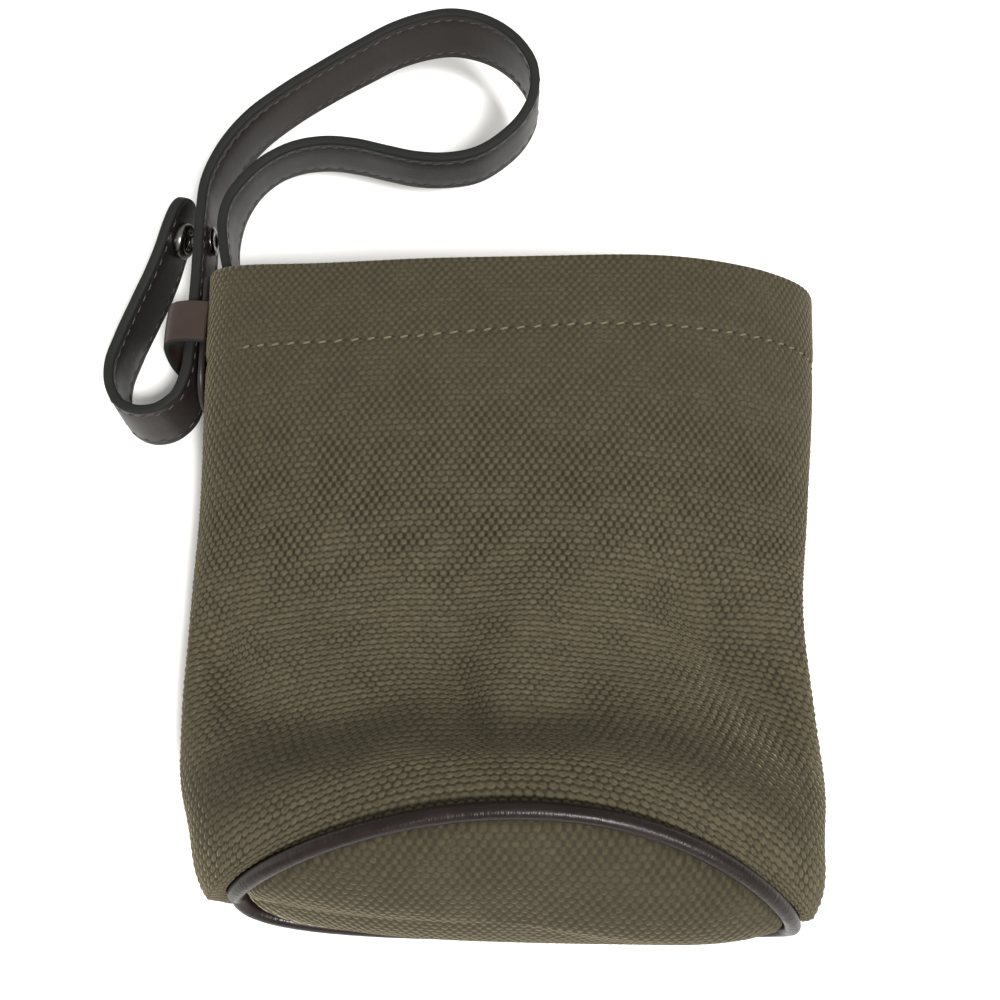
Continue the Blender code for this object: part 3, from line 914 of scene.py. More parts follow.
@dataclass
class Weave:
    """Height of the canvas yarns over the middle of the cloth."""

    seed: int
    height: float = 0.17
    unevenness: float = 0.5
    row_share: float = 0.55        # how far the bumps of a row join
    apart: float = 0.7             # how much less they do towards the hem
    round_from: float = 60.0
    pressed_from: float = 85.0     # the yarns lie flatter towards the hem
    pressed_to: float = 125.0
    pressed: float = 0.5
    crease_at: float = 20.0        # and in the crease above the base
    crease_half: float = 7.0
    crease_pressed: float = 0.45
    left_from: int = 500           # number of the first yarn on the left

    def __post_init__(self) -> None:
        """Draw how thick each yarn is."""
        chance = np.random.default_rng(self.seed)
        self.up_yarns = 1.0 - self.unevenness * chance.random(1024)
        self.round_yarns = 1.0 - self.unevenness * chance.random(512)

    def at(self, u: Array, v: Array) -> Array:
        """Height at a place on the cloth, in millimetres.

        Args:
            u: distance from the front's middle, to the right.
            v: distance up the cloth.

        Returns:
            The height, below 0 in the gaps.
        """
        number = np.rint(np.abs(u) / THREAD_ACROSS).astype(int) + self.left_from * (u < 0)
        thick = (self.up_yarns[number]
                 + self.round_yarns[np.rint(np.abs(v) / THREAD_ALONG).astype(int)]) / 2
        along = np.cos(np.pi * v / THREAD_ALONG)
        knots = np.cos(np.pi * u / THREAD_ACROSS) * along
        upper = soft_step(self.pressed_from, self.pressed_to, v)
        in_crease = np.exp(-((v - self.crease_at) / self.crease_half) ** 2)
        flat = (1 - (1 - self.pressed) * upper) * (1 - (1 - self.crease_pressed) * in_crease)
        apart = self.apart * soft_step(self.round_from, self.pressed_to, v)
        rows = self.row_share * (1 - apart) * (2 * along ** 2 - 1)
        return self.height * flat * (knots + rows) * thick


class StitchFrames(NamedTuple):
    """Where the stitches lie: middle, direction along the row and direction up."""

    place: Array
    along: Array
    up: Array


def cloth_row(place: Array, u: Array, v: float) -> Row:
    """Row of the wall's points, none of them below the surface.

    Args:
        place: the points.
        u: their distances from the front's middle.
        v: their distance up the cloth.

    Returns:
        The row.
    """
    place[:, 2] = np.maximum(place[:, 2], 0.0)
    return Row(place, u, np.stack([u, np.full_like(u, v)], axis=1))


@dataclass
class CanvasWall:
    """The tube of canvas from the base seam to the hemmed mouth."""

    form: PouchForm
    hem: float = 2.4               # thickness of the folded hem
    hem_depth: float = 26.0
    hem_proud: float = 0.25        # how much the two layers stand out above the stitches
    hem_rise: Span = (-1.5, 3.0)   # where they come to, from the stitched line
    line_half: float = 1.3         # half width of the stitched line's groove
    line_sink: float = 0.45
    line_dimple: float = 0.25      # how much less it sinks between the stitches
    line_flat: float = 0.4         # how much flatter the yarns are in it
    stitch_pitch: float = 4.0
    stitch_dip: float = 0.3
    stitch_clear: float = 0.8      # the back's stitches are pressed into the cloth
    stitch_left: float = -63.5     # so are those round the left fold
    hole_at: float = 1.55          # needle hole's middle, along the row from a stitch's middle
    edge_roll: float = 0.6         # how far the cloth turns in at the base seam
    slope_over: float = 0.6        # half the stretch that a slope is measured over
    levels: int = 240
    gauges: int = 64               # places round the wall where it is measured
    end_gap: float = 0.4           # least part of a step beside the back's seam
    rim_turns: int = 6
    back_from: float = 85.0        # beyond this the mesh has one step to a thread
    laid_from: float = 115.0       # and here, where the pouch lies on it, half a step
    laid_fade: float = 10.0        # the yarns are pressed flat before that
    inner_step: float = 2.6
    hem_skip: int = 4              # the inside has a row for so many outside, in the hem
    inner_skip: int = 5            # and under it

    def __post_init__(self) -> None:
        """Work out the height of each row of yarns."""
        self.weave = Weave(seed=7)
        self.lines = self.form.seam_lines()
        self.edge_ring = self.lines.seam + self.form.seam_room * self.lines.to_wall
        ups = np.linspace(self.form.first_level, 1.0, self.levels)
        loops = [closed(self.edge_ring)] + [self.form.loop(up) for up in ups]
        places = np.array([loop.even(self.gauges) for loop in loops])
        steps = np.linalg.norm(np.diff(places, axis=0), axis=2)
        length = np.concatenate([[0.0], np.cumsum(np.median(steps, axis=1))])
        self.count = int(round(length[-1] / ROW_STEP))
        self.row_step = length[-1] / self.count
        heights = np.arange(self.count + 1) * self.row_step
        self.ups = np.interp(heights, length[1:], ups)
        self.blend = np.clip(heights / length[1], 0.0, 1.0)
        self.loops = [self.loop_at(index) for index in range(self.count + 1)]

    def loop_at(self, index: int) -> Loop:
        """Outside of the wall at one row.

        Args:
            index: row number.

        Returns:
            The measured loop.
        """
        blend = self.blend[index]
        if blend >= 1.0:
            return self.form.loop(self.ups[index])
        ring = (1 - blend) * self.edge_ring + blend * self.lines.above
        return closed(ring + self.edge_roll * (1 - blend) ** 2 * self.lines.wall_in)

    def smooth_place(self, index: int, u: Array) -> tuple[Array, Array]:
        """Place and outward direction on the wall, without its yarns.

        Args:
            index: row number.
            u: distances from the front's middle, to the right where positive.

        Returns:
            Points and unit directions.
        """
        here = self.loops[index]
        along = here.at(-(u + self.slope_over)) - here.at(-(u - self.slope_over))
        upward = self.upward(max(index - 1, 0), here, min(index + 1, self.count), u)
        return here.at(-u), unit(np.cross(along, upward))

    def upward(self, low: int, here: Loop, high: int, u: Array) -> Array:
        """Line up the wall between two rows, at places of a loop.

        Args:
            low: number of the lower row.
            here: loop that u is measured on.
            high: number of the upper row.
            u: distances from the front's middle, to the right.

        Returns:
            A line for each place, not of length 1.
        """
        share = u / here.total
        return (self.loops[high].at(-share * self.loops[high].total)
                - self.loops[low].at(-share * self.loops[low].total))

    def columns(self, loop: Loop, step: float) -> Array:
        """Distances of a row's points, on the threads, with both ends at the back's seam.

        Args:
            loop: the row's loop.
            step: distance between points.

        Returns:
            Distances from the front's middle.
        """
        half = loop.total / 2
        last = int((half - self.end_gap * step) // step)
        return np.concatenate([[-half], np.arange(-last, last + 1) * step, [half]])

    def outer_columns(self, loop: Loop) -> Array:
        """Distances of an outside row's points: all of them in front, fewer at the back.

        Args:
            loop: the row's loop.

        Returns:
            Distances from the front's middle.
        """
        u = self.columns(loop, COLUMN_STEP)
        away = np.abs(u)
        every = np.where(away < self.back_from, 1, np.where(away < self.laid_from, 2, 4))
        keep = np.rint(u / COLUMN_STEP).astype(int) % every == 0
        keep[[0, -1]] = True
        return u[keep]

    def hem_line(self, u: Array) -> Array:
        """Part of the wall's height at which the hem is stitched."""
        return np.interp(u, *np.transpose(HEM_LINE))

    def outer_row(self, index: int) -> Row:
        """One row of the outside, with its hem, stitched line and yarns.

        Args:
            index: row number.

        Returns:
            The row.
        """
        u = self.outer_columns(self.loops[index])
        v = index * ROW_STEP
        place, outward = self.smooth_place(index, u)
        over = (self.ups[index] - self.hem_line(u)) * WALL_HEIGHT
        line = np.exp(-(over / self.line_half) ** 2)
        phase = np.cos(2 * np.pi * u / self.stitch_pitch)
        sink = self.line_sink * line * (1 - self.line_dimple * (1 + phase))
        laid = soft_step(self.laid_from - self.laid_fade, self.laid_from, np.abs(u))
        yarns = self.weave.at(u, np.full_like(u, v)) * (1 - self.line_flat * line) * (1 - laid)
        relief = self.hem_proud * soft_step(*self.hem_rise, over) - sink + yarns
        return cloth_row(place + relief[:, None] * outward, u, v)

    def rim_row(self, turn: float) -> Row:
        """One row of the fold at the mouth, turned over by an angle.

        Args:
            turn: angle, 0 at the outside and pi at the inside.

        Returns:
            The row.
        """
        radius = self.hem / 2
        cosine = math.cos(turn)
        u = self.outer_columns(self.loops[self.count])
        v = self.count * ROW_STEP + radius * (turn - math.pi / 2)
        place, outward = self.smooth_place(self.count, u)
        top = self.loops[self.count]
        upward = unit(top.at(-u) - self.loops[self.count - 4].at(
            -u / top.total * self.loops[self.count - 4].total))
        lift = radius * (cosine - 1) + self.hem_proud * max(cosine, 0.0)
        yarns = self.weave.at(u, np.full_like(u, v))[:, None]
        place = (place + lift * outward + radius * (math.sin(turn) - 1.0) * upward
                 + yarns * (cosine * outward + math.sin(turn) * upward))
        return cloth_row(place, u, v)

    def inner_row(self, index: int, depth: float) -> Row:
        """One row of the inside, at a depth from the outside.

        Args:
            index: row number.
            depth: distance in from the outside.

        Returns:
            The row.
        """
        u = self.columns(self.loops[index], self.inner_step)
        place, outward = self.smooth_place(index, u)
        v = (2 * self.count - index) * ROW_STEP + self.hem * math.pi / 2
        return cloth_row(place - depth * outward, u, v)

    def build(self) -> bpy.types.Object:
        """Join the rows: up the outside, over the rim and down the inside.

        Returns:
            The wall.
        """
        skin = RowSkin()
        last_outer = self.count - int(round(self.hem / 2 / self.row_step))
        for index in range(last_outer + 1):
            skin.add(self.outer_row(index))
        for turn in np.linspace(0, math.pi, self.rim_turns + 1)[1:]:
            skin.add(self.rim_row(float(turn)))
        fold = self.count - int(round(self.hem_depth / self.row_step))
        for index in range(self.count - self.hem_skip, fold, -self.hem_skip):
            skin.add(self.inner_row(index, self.hem))
        for depth in (self.hem - 0.1, self.hem - 0.6, CANVAS):
            skin.add(self.inner_row(fold, depth))
        for index in range(fold - self.inner_skip, 2, -self.inner_skip):
            skin.add(self.inner_row(index, CANVAS))
        skin.add(self.inner_row(0, CANVAS - 0.2))
        skin.join(len(skin.rows) - 1, 0)
        return skin.piece("canvas_wall")

    def spot(self, u: float) -> tuple[Array, Array]:
        """Place and outward direction on the hem's stitched line.

        Args:
            u: distance from the front's middle, to the right.

        Returns:
            A point and a unit direction.
        """
        row = float(np.interp(self.hem_line(u), self.ups, np.arange(len(self.ups))))
        low = int(row)
        share = row - low
        ends = [self.smooth_place(index, np.array([u])) for index in (low, low + 1)]
        place, outward = (first[0] + share * (second[0] - first[0])
                          for first, second in zip(*ends))
        return place, unit(outward)

    def stitches(self) -> StitchFrames:
        """Places for the stitches of the hem.

        Returns:
            A place for each stitch that shows.
        """
        count = int(self.loops[-1].total // self.stitch_pitch)
        rows = []
        for k in range(count):
            u = (k - count // 2 + 0.5) * self.stitch_pitch
            place, outward = self.spot(u)
            along = unit(self.spot(u + self.slope_over)[0] - self.spot(u - self.slope_over)[0])
            if place[2] > self.stitch_clear and place[0] > self.stitch_left:
                rows.append((place - self.stitch_dip * outward, along, outward))
        return StitchFrames(*(np.array(part) for part in zip(*rows)))

    def needle_holes(self) -> StitchFrames:
        """Places of the needle holes, at the right end of each stitch."""
        rows = self.stitches()
        return rows._replace(place=rows.place + self.hole_at * rows.along)


@dataclass
class BaseCover:
    """The oval base: a bulged panel of canvas, its edge turned in behind the piping."""

    form: PouchForm
    edge_gap: float = 0.25         # cloth to piping
    roll: float = 1.6
    lip_share: float = 0.6
    lip_room: float = 0.85
    snug: float = 0.6
    tuck: float = 0.35             # how far the cloth leans in where it meets the piping
    ring_step: float = 0.5
    fade: float = 0.75             # the yarns lie flatter where the panel is stretched
    fade_out: Span = (0.3, 0.9)
    pole: float = 0.02             # reach of the innermost ring
    inner_reaches: tuple[float, ...] = (0.8, 0.6, 0.4, 0.2, 0.02)
    inner_points: int = 160        # of the ring of the inside that would be at the seam
    fewest_points: int = 12
    cloth_y: float = 160.0         # the panel's place in the cloth's pattern

    def __post_init__(self) -> None:
        """Measure the base."""
        self.weave = Weave(seed=11)
        self.lines = self.form.seam_lines()
        self.middle = self.lines.seam.mean(axis=0)
        self.tall = unit(self.form.tall(self.lines.seam))

    def ring_row(self, ring: Array) -> Row:
        """A closed ring as a row that ends where it starts, with its place on the panel.

        Args:
            ring: points, none repeated.

        Returns:
            The row.
        """
        ring = np.concatenate([ring, ring[:1]])
        offset = ring - self.middle
        flat = np.stack([offset @ TO_RIGHT, offset @ self.tall + self.cloth_y], axis=1)
        return Row(ring, np.linspace(0.0, 1.0, len(ring)), flat)

    def build(self) -> bpy.types.Object:
        """Join the rings: the outside from its middle, round the edge, and the inside.

        Returns:
            The base.
        """
        lines = self.lines
        outward = self.form.base_outward(lines.seam)
        seam_loop = closed(lines.seam)
        skin = RowSkin()
        rings = int(np.ptp(lines.seam[:, 0]) / 2 / self.ring_step)
        edge = 1.0 - (self.form.seam_room + self.roll) / (np.ptp(lines.seam[:, 2]) / 2)
        for index in range(rings + 1):
            reach = edge * max(index, self.pole) / rings
            count = max(self.fewest_points,
                        2 * int(round(seam_loop.total * reach / self.ring_step / 2)))
            row = self.ring_row(self.form.dome(seam_loop.even(count), reach))
            yarns = self.weave.at(row.cloth[:, 0], row.cloth[:, 1])
            yarns = yarns * (self.fade + (1 - self.fade) * soft_step(*self.fade_out, reach))
            skin.add(row._replace(points=row.points + yarns[:, None] * outward))
        room = PIPING_RADIUS + self.edge_gap
        beside = lines.seam + (room + self.roll) * lines.to_base
        touch = lines.seam + room * unit(lines.to_base + self.tuck * lines.base_in)
        behind = lines.seam + (self.form.seam_room + self.snug) * lines.inward
        wall_edge = lines.seam + self.form.seam_room * lines.to_wall
        lip = (wall_edge + self.lip_share * (lines.above - wall_edge)
               + (CANVAS + self.lip_room) * lines.wall_in)
        for ring in (beside, touch, behind, lip, lip + CANVAS * lines.wall_in,
                     behind + CANVAS * lines.inward):
            skin.add(self.ring_row(ring))
        for reach in (edge, *self.inner_reaches):
            count = max(self.fewest_points, int(self.inner_points * reach))
            ring = self.form.dome(seam_loop.even(count), reach)
            skin.add(self.ring_row(ring - CANVAS * outward))
        for row in (-1, 0):
            start = skin.starts[:-1][row]
            skin.faces.append(tuple(range(start, start + len(skin.rows[row].points) - 1)))
        return skin.piece("base_cover")


@dataclass
class StitchRow:
    """Stitches modelled once and copied along a row."""

    length: float                  # of the thread that shows in one stitch
    thickness: float
    slant: float = 5.0             # degrees off the row, as a lockstitch lies
    arch: float = 0.35             # how far the ends dip below the middle
    blunt: float = 0.8             # power that makes the ends blunter
    turned: Span = (0.7, 0.6)      # least part of the slant, and what chance adds
    scaled: Span = (0.94, 0.12)    # and of the length
    cloth_step: float = 7.0
    seed: int = 3

    def pattern(self) -> tuple[Array, Faces]:
        """Model one stitch along X: a thread that dips at both ends.

        Returns:
            Its points, and its faces as point numbers.
        """
        bpy.ops.object.select_all(action="DESELECT")
        bpy.ops.mesh.primitive_uv_sphere_add(segments=8, ring_count=7, radius=1.0,
                                             rotation=(0.0, math.pi / 2, 0.0))
        obj = bpy.context.object
        bpy.ops.object.transform_apply(location=True, rotation=True, scale=True)
        x, y, z = np.transpose([tuple(vertex.co) for vertex in obj.data.vertices])
        faces = [tuple(polygon.vertices) for polygon in obj.data.polygons]
        mesh = obj.data
        bpy.data.objects.remove(obj)
        bpy.data.meshes.remove(mesh)
        along = np.sign(x) * np.abs(x) ** self.blunt
        dip = self.arch * np.abs(x) ** 3
        return np.stack([along * self.length / 2, y * self.thickness / 2,
                         z * self.thickness / 2 - dip], axis=1), faces

    def build(self, name: str, frames: Sequence[StitchFrames]) -> bpy.types.Object:
        """Copy the stitch to every place.

        Args:
            name: the piece's name.
            frames: rows of places.

        Returns:
            All the stitches as one piece.
        """
        pattern, pattern_faces = self.pattern()
        chance = np.random.default_rng(self.seed)
        points = []
        cloth = []
        faces: Faces = []
        for row in frames:
            for place, along, up in zip(*row):
                side = np.cross(up, along)
                turn = math.radians(self.slant) * (self.turned[0]
                                                  + self.turned[1] * chance.random())
                ahead = math.cos(turn) * along + math.sin(turn) * side
                across = math.cos(turn) * side - math.sin(turn) * along
                scale = self.scaled[0] + self.scaled[1] * chance.random()
                start = len(points) * len(pattern)
                points.append(place + scale * pattern[:, :1] * ahead
                              + pattern[:, 1:2] * across + pattern[:, 2:3] * up)
                cloth.append(pattern[:, :2] + np.array([self.cloth_step * len(points), 0.0]))
                faces.extend(tuple(corner + start for corner in face)
                             for face in pattern_faces)
        return make_piece(name, np.concatenate(points), faces, np.concatenate(cloth))


@dataclass
class Piping:
    """Leather sewn round a cord, along the base seam."""

    form: PouchForm
    around: int = 20
    step: float = 0.5
    slack: float = 0.1             # the leather is drawn in by this
    wrinkle: float = 0.07
    rough_every: int = 3           # rings from one rough place to the next
    swell_length: float = 9.0      # of the long swellings, over 2 pi
    seed: int = 5

    def build(self) -> bpy.types.Object:
        """Sweep a slightly wrinkled ring along the seam.

        Returns:
            The piping.
        """
        seam = self.form.loop(0.0)
        count = int(seam.total / self.step)
        middle = seam.even(count)
        along = unit(np.roll(middle, -1, axis=0) - np.roll(middle, 1, axis=0))
        inward = square_to(closed(self.form.seam_lines().inward).even(count), along)
        side = np.cross(along, inward)
        knots = np.random.default_rng(self.seed).random(count // self.rough_every + 2)
        rough = np.interp(np.arange(count) / self.rough_every, np.arange(len(knots)), knots)
        swell = (np.sin(np.arange(count) * self.step / self.swell_length) + rough) / 2
        angle = np.arange(self.around + 1) % self.around / self.around * 2 * math.pi
        spot = np.arange(count + 1) % count
        radius = PIPING_RADIUS - self.slack + self.wrinkle * np.outer(
            swell[spot], 1 + 0.5 * np.cos(angle))
        points = (middle[spot, None] - (radius * np.cos(angle))[..., None] * inward[spot, None]
                  + (radius * np.sin(angle))[..., None] * side[spot, None])
        points[..., 2] = np.maximum(points[..., 2], 0.0)
        round_place = np.linspace(0, 2 * math.pi * PIPING_RADIUS, self.around + 1)
        cloth = np.stack(np.meshgrid(np.arange(count + 1) * self.step, round_place,
                                     indexing="ij"), axis=-1)
        faces = grid_faces(count + 1, self.around + 1)
        return make_piece("base_piping_cover", points, faces, cloth, weld=True)


class Route(NamedTuple):
    """One point of the strap's middle line, and how far its upper edge leans forward."""

    x: float
    y: float
    z: float
    lean: float


STRAP_ROUTE = (
    Route(-69.9, 127.0, 16.8, 0.0),              # sewn end inside the mouth
    Route(-70.4, 143.0, 17.3, 0.0),
    Route(-71.7, 158.0, 18.0, 0.0),
    Route(-74.0, 168.0, 18.8, 1.0),
    Route(-75.0, 177.5, 19.8, 4.0),
    Route(-73.5, 185.1, 20.8, 12.0),
    Route(-70.1, 190.8, 22.0, 18.0),
    Route(-63.5, 197.3, 23.0, 18.0),
    Route(-56.6, 200.2, 23.8, 15.0),
    Route(-48.4, 201.5, 23.8, 12.0),
    Route(-39.8, 200.5, 23.7, 10.0),
    Route(-31.4, 198.2, 23.7, 10.0),
    Route(-23.1, 196.2, 23.7, 10.5),
    Route(-14.8, 195.7, 23.9, 11.5),
    Route(-6.6, 196.9, 24.6, 11.0),
    Route(0.7, 201.0, 26.0, 11.0),
    Route(6.3, 206.3, 28.0, 10.0),
    Route(9.3, 212.7, 30.0, 8.0),
    Route(9.0, 219.4, 32.0, 4.0),
    Route(6.0, 225.0, 33.2, 3.0),
    Route(1.3, 230.0, 33.7, 2.0),
    Route(-5.5, 234.3, 33.7, 1.5),
    Route(-13.9, 236.2, 33.6, 2.0),
    Route(-21.9, 234.9, 33.4, 3.0),
    Route(-29.9, 232.2, 32.7, 4.0),
    Route(-38.0, 227.9, 31.6, 5.0),
    Route(-48.1, 222.5, 29.8, 7.0),
    Route(-59.6, 215.5, 27.7, 7.0),
    Route(-69.4, 207.8, 25.6, 5.0),
    Route(-76.7, 198.5, 23.0, 3.0),
    Route(-80.5, 189.0, 21.0, 1.0),
    Route(-81.2, 179.5, 19.8, 0.0),
    Route(-81.1, 170.5, 18.9, 0.0),              # under the snap
    Route(-80.9, 160.0, 17.9, 0.0),
    Route(-80.8, 150.0, 17.1, 0.0),              # through the keeper
    Route(-80.8, 140.0, 16.2, 0.0),
    Route(-81.4, 132.0, 15.2, -2.0),
    Route(-83.6, 126.0, 14.2, -5.0),
    Route(-87.8, 122.6, 13.4, -6.0),
    Route(-92.8, 121.9, 12.8, -6.0),
    Route(-98.0, 124.2, 12.4, -4.0),
    Route(-101.4, 129.4, 12.2, -2.0),
    Route(-102.6, 136.5, 12.2, 0.0),
    Route(-100.8, 144.8, 12.8, 0.0),
    Route(-97.2, 154.6, 14.4, 0.0),
    Route(-93.6, 163.0, 16.6, 0.0),
    Route(-91.7, 168.4, 18.0, 0.0),
    Route(-89.8, 176.0, 19.3, 0.0),              # under the snap's cap
    Route(-88.0, 182.4, 20.0, 0.0),
    Route(-86.8, 187.4, 20.4, 0.0),
)

FLESH_SIDE, PAINTED_EDGE, GRAIN_SIDE = 0, 1, 2      # the strap's material slots


@dataclass
class Strap:
    """Two thin leathers glued and stitched together, cut to a strip with painted edges."""

    width: float = 16.8
    thickness: float = 2.7
    corner: float = 0.85
    corner_steps: int = 4
    corner_square: float = 0.7     # 1 would be a round corner
    crown: float = 0.12            # how much fuller the faces are in their middle
    crown_top: float = 2.5         # half width of the mesh's middle stretch
    groove: float = 0.14           # depth of the line that the stitches lie in
    groove_half: float = 0.55
    groove_points: tuple[float, ...] = (-0.8, -0.4, 0.0, 0.4, 0.8)
    stitch_inset: float = 2.3
    stitch_pitch: float = 3.6
    stitch_lift: float = 0.02
    stitch_ends: float = 3.6       # pitches without a stitch, at both ends together
    step: float = 1.0
    slope_over: float = 0.5        # half the stretch that the direction is measured over
    tip_round: float = 8.0
    tip_end: float = 0.99
    tip_steps: tuple[float, ...] = (0.6, 0.3, 0.1, 0.0)

    def __post_init__(self) -> None:
        """Measure the route."""
        self.places = np.array([route[:3] for route in STRAP_ROUTE])
        self.leans = np.array([route.lean for route in STRAP_ROUTE])
        self.knots = running(self.places)
        self.length = float(self.knots[-1])
        self.half = self.width / 2
        self.line = self.half - self.stitch_inset
        self.flat = self.thickness / 2 - self.crown / 2

    def frames(self, where: Array) -> tuple[Array, Array, Array, Array]:
        """Middle, direction, width and face directions at distances along the strap.

        Args:
            where: distances from the sewn end.

        Returns:
            A row for each distance, in each of the four.
        """
        middle, ahead, behind = (smooth_value(self.knots, self.places, where + off)
                                 for off in (0.0, self.slope_over, -self.slope_over))
        lean = np.radians(smooth_value(self.knots, self.leans, where))
        tangent = unit(ahead - behind)
        upright = np.stack([np.zeros(len(where)), -np.sin(lean), np.cos(lean)], axis=1)
        upright = square_to(upright, tangent)
        return middle, tangent, upright, np.cross(tangent, upright)

    def width_share(self, where: Array) -> Array:
        """Part of the full width that the strap has, less in its rounded tip."""
        tip = np.clip(1.0 - (self.length - where) / self.tip_round, 0.0, self.tip_end)
        return np.sqrt(1.0 - tip ** 2)

    def face_height(self, across: Array) -> Array:
        """Height of a face over the middle, with its crown and stitch lines.

        Args:
            across: places across the width.

        Returns:
            The height at each.
        """
        crown = self.crown * (1 - (across / self.half) ** 2)
        line = np.exp(-((np.abs(across) - self.line) / self.groove_half) ** 2)
        return self.flat + crown - self.groove * line

    def outline(self) -> tuple[Array, Array, Array]:
        """Section of the strap.

        Returns:
            Places across the width, heights over the middle, and the material slot of the
            stretch from each point to the next.
        """
        inner = self.half - self.corner
        groove = np.array(self.groove_points)
        face = np.concatenate([[-inner], groove - self.line, [-self.crown_top, self.crown_top],
                               groove + self.line, [inner]])
        turn = np.linspace(math.pi / 2, -math.pi / 2, 2 * self.corner_steps + 1)[1:-1]
        edge_across = inner + self.corner * np.abs(np.cos(turn)) ** self.corner_square
        edge_height = (self.flat * np.sign(np.sin(turn))
                       * np.abs(np.sin(turn)) ** self.corner_square)
        top = self.face_height(face)
        across = np.concatenate([face, edge_across, face[::-1], -edge_across])
        height = np.concatenate([top, edge_height, -top, -edge_height])
        slots = np.full(len(across), FLESH_SIDE)
        slots[:len(face) - 1] = GRAIN_SIDE
        slots[len(face) - 1:len(face) + len(turn)] = PAINTED_EDGE
        slots[2 * len(face) + len(turn) - 1:] = PAINTED_EDGE
        return across, height, slots

    def build(self) -> bpy.types.Object:
        """Sweep the section along the route.

        Returns:
            The strap, its sides and its painted edges in material slots of their own.
        """
        across, height, slots = self.outline()
        where = np.linspace(0.0, self.length, int(round(self.length / self.step)) + 1)
        where = np.concatenate([where[:-1], self.length - np.array(self.tip_steps)])
        middle, _, upright, face = (part[:, None] for part in self.frames(where))
        wide = np.outer(self.width_share(where), across)
        points = middle + wide[..., None] * upright + height[:, None] * face
        around = running(np.stack([across, height], axis=1))
        cloth = np.stack(np.meshgrid(where, around, indexing="ij"), axis=-1)
        faces = tube_faces(len(where), len(across))
        obj = make_piece("leather_strap", points, faces, cloth)
        slots = [*np.tile(slots, len(where) - 1), PAINTED_EDGE, PAINTED_EDGE]
        obj.data.polygons.foreach_set("material_index", np.array(slots, np.int32))
        return obj

    def stitches(self) -> list[StitchFrames]:
        """Places for the stitches, near both edges of both faces.

        Returns:
            The places in each of the four lines.
        """
        count = int((self.length - self.stitch_ends * self.stitch_pitch) / self.stitch_pitch) + 1
        where = (1 + np.arange(count)) * self.stitch_pitch
        middle, tangent, upright, face = self.frames(where)
        inset = self.line * self.width_share(where)[:, None] * upright
        lift = (float(self.face_height(self.line)) + self.stitch_lift) * face
        return [StitchFrames(middle + edge * inset + side * lift, tangent, side * face)
                for side in (-1.0, 1.0) for edge in (-1.0, 1.0)]


class BandPoint(NamedTuple):
    """One point of the keeper's inner outline, seen along the strap."""

    x: float
    z: float


KEEPER_OUTLINE = (
    BandPoint(-75.4, 28.4),
    BandPoint(-79.6, 28.9),
    BandPoint(-83.6, 28.0),
    BandPoint(-85.4, 25.4),
    BandPoint(-86.2, 20.0),
    BandPoint(-86.2, 14.0),
    BandPoint(-85.2, 8.8),
    BandPoint(-82.8, 5.6),
    BandPoint(-79.6, 4.8),
    BandPoint(-75.6, 5.3),
)


@dataclass
class Keeper:
    """Narrow leather band that holds the strap at the pouch's side."""

    width: float = 12.0
    thickness: float = 1.4         # at the edges
    swell: float = 0.18            # how much fuller its middle is
    place_y: float = 143.5
    corner: float = 0.45
    sections: int = 60
    face_points: int = 9
    edge_points: int = 7           # of each half round, the faces' ends among them

    def build(self) -> bpy.types.Object:
        """Sweep the section round the strap.

        Returns:
            The band, with its painted edges in a second material slot.
        """
        knots = np.arange(len(KEEPER_OUTLINE), dtype=float)
        where = np.linspace(0.0, knots[-1], self.sections)
        line = smooth_value(knots, np.array(KEEPER_OUTLINE), where)
        ahead = unit(np.gradient(line, axis=0))
        outward = np.stack([ahead[:, 1], -ahead[:, 0]], axis=1)
        outward *= np.sign(np.sum(outward * (line - line.mean(axis=0))))
        across, height = np.transpose(self.section())
        spot = line[:, None] + outward[:, None] * height[:, None]
        y = np.broadcast_to(self.place_y + across, spot.shape[:2])
        points = np.stack([spot[..., 0], y, spot[..., 1]], axis=-1)
        cloth = np.stack(np.meshgrid(running(line), across + self.width / 2, indexing="ij"),
                         axis=-1)
        obj = make_piece("keeper_band", points, tube_faces(self.sections, len(across)), cloth)
        at_edge = np.abs(across) >= self.width / 2 - self.corner
        painted = at_edge & np.roll(at_edge, -1)
        slots = [*np.tile(painted, self.sections - 1), 0, 0]
        obj.data.polygons.foreach_set("material_index", np.array(slots, np.int32))
        return obj

    def section(self) -> list[tuple[float, float]]:
        """Outline across the band: place along Y and height over its inner face.

        Returns:
            The points in order.
        """
        inner = self.width / 2 - self.corner
        face = np.linspace(-inner, inner, self.face_points)
        mid = self.thickness / 2
        top = [(y, self.thickness + self.swell * (1 - (y / inner) ** 2)) for y in face]
        right = [(inner + self.corner * math.cos(turn), mid + mid * math.sin(turn))
                 for turn in np.linspace(math.pi / 2, -math.pi / 2, self.edge_points)[1:-1]]
        left = [(-y, 2 * mid - height) for y, height in right]
        return top + right + [(y, 0.0) for y in face[::-1]] + left


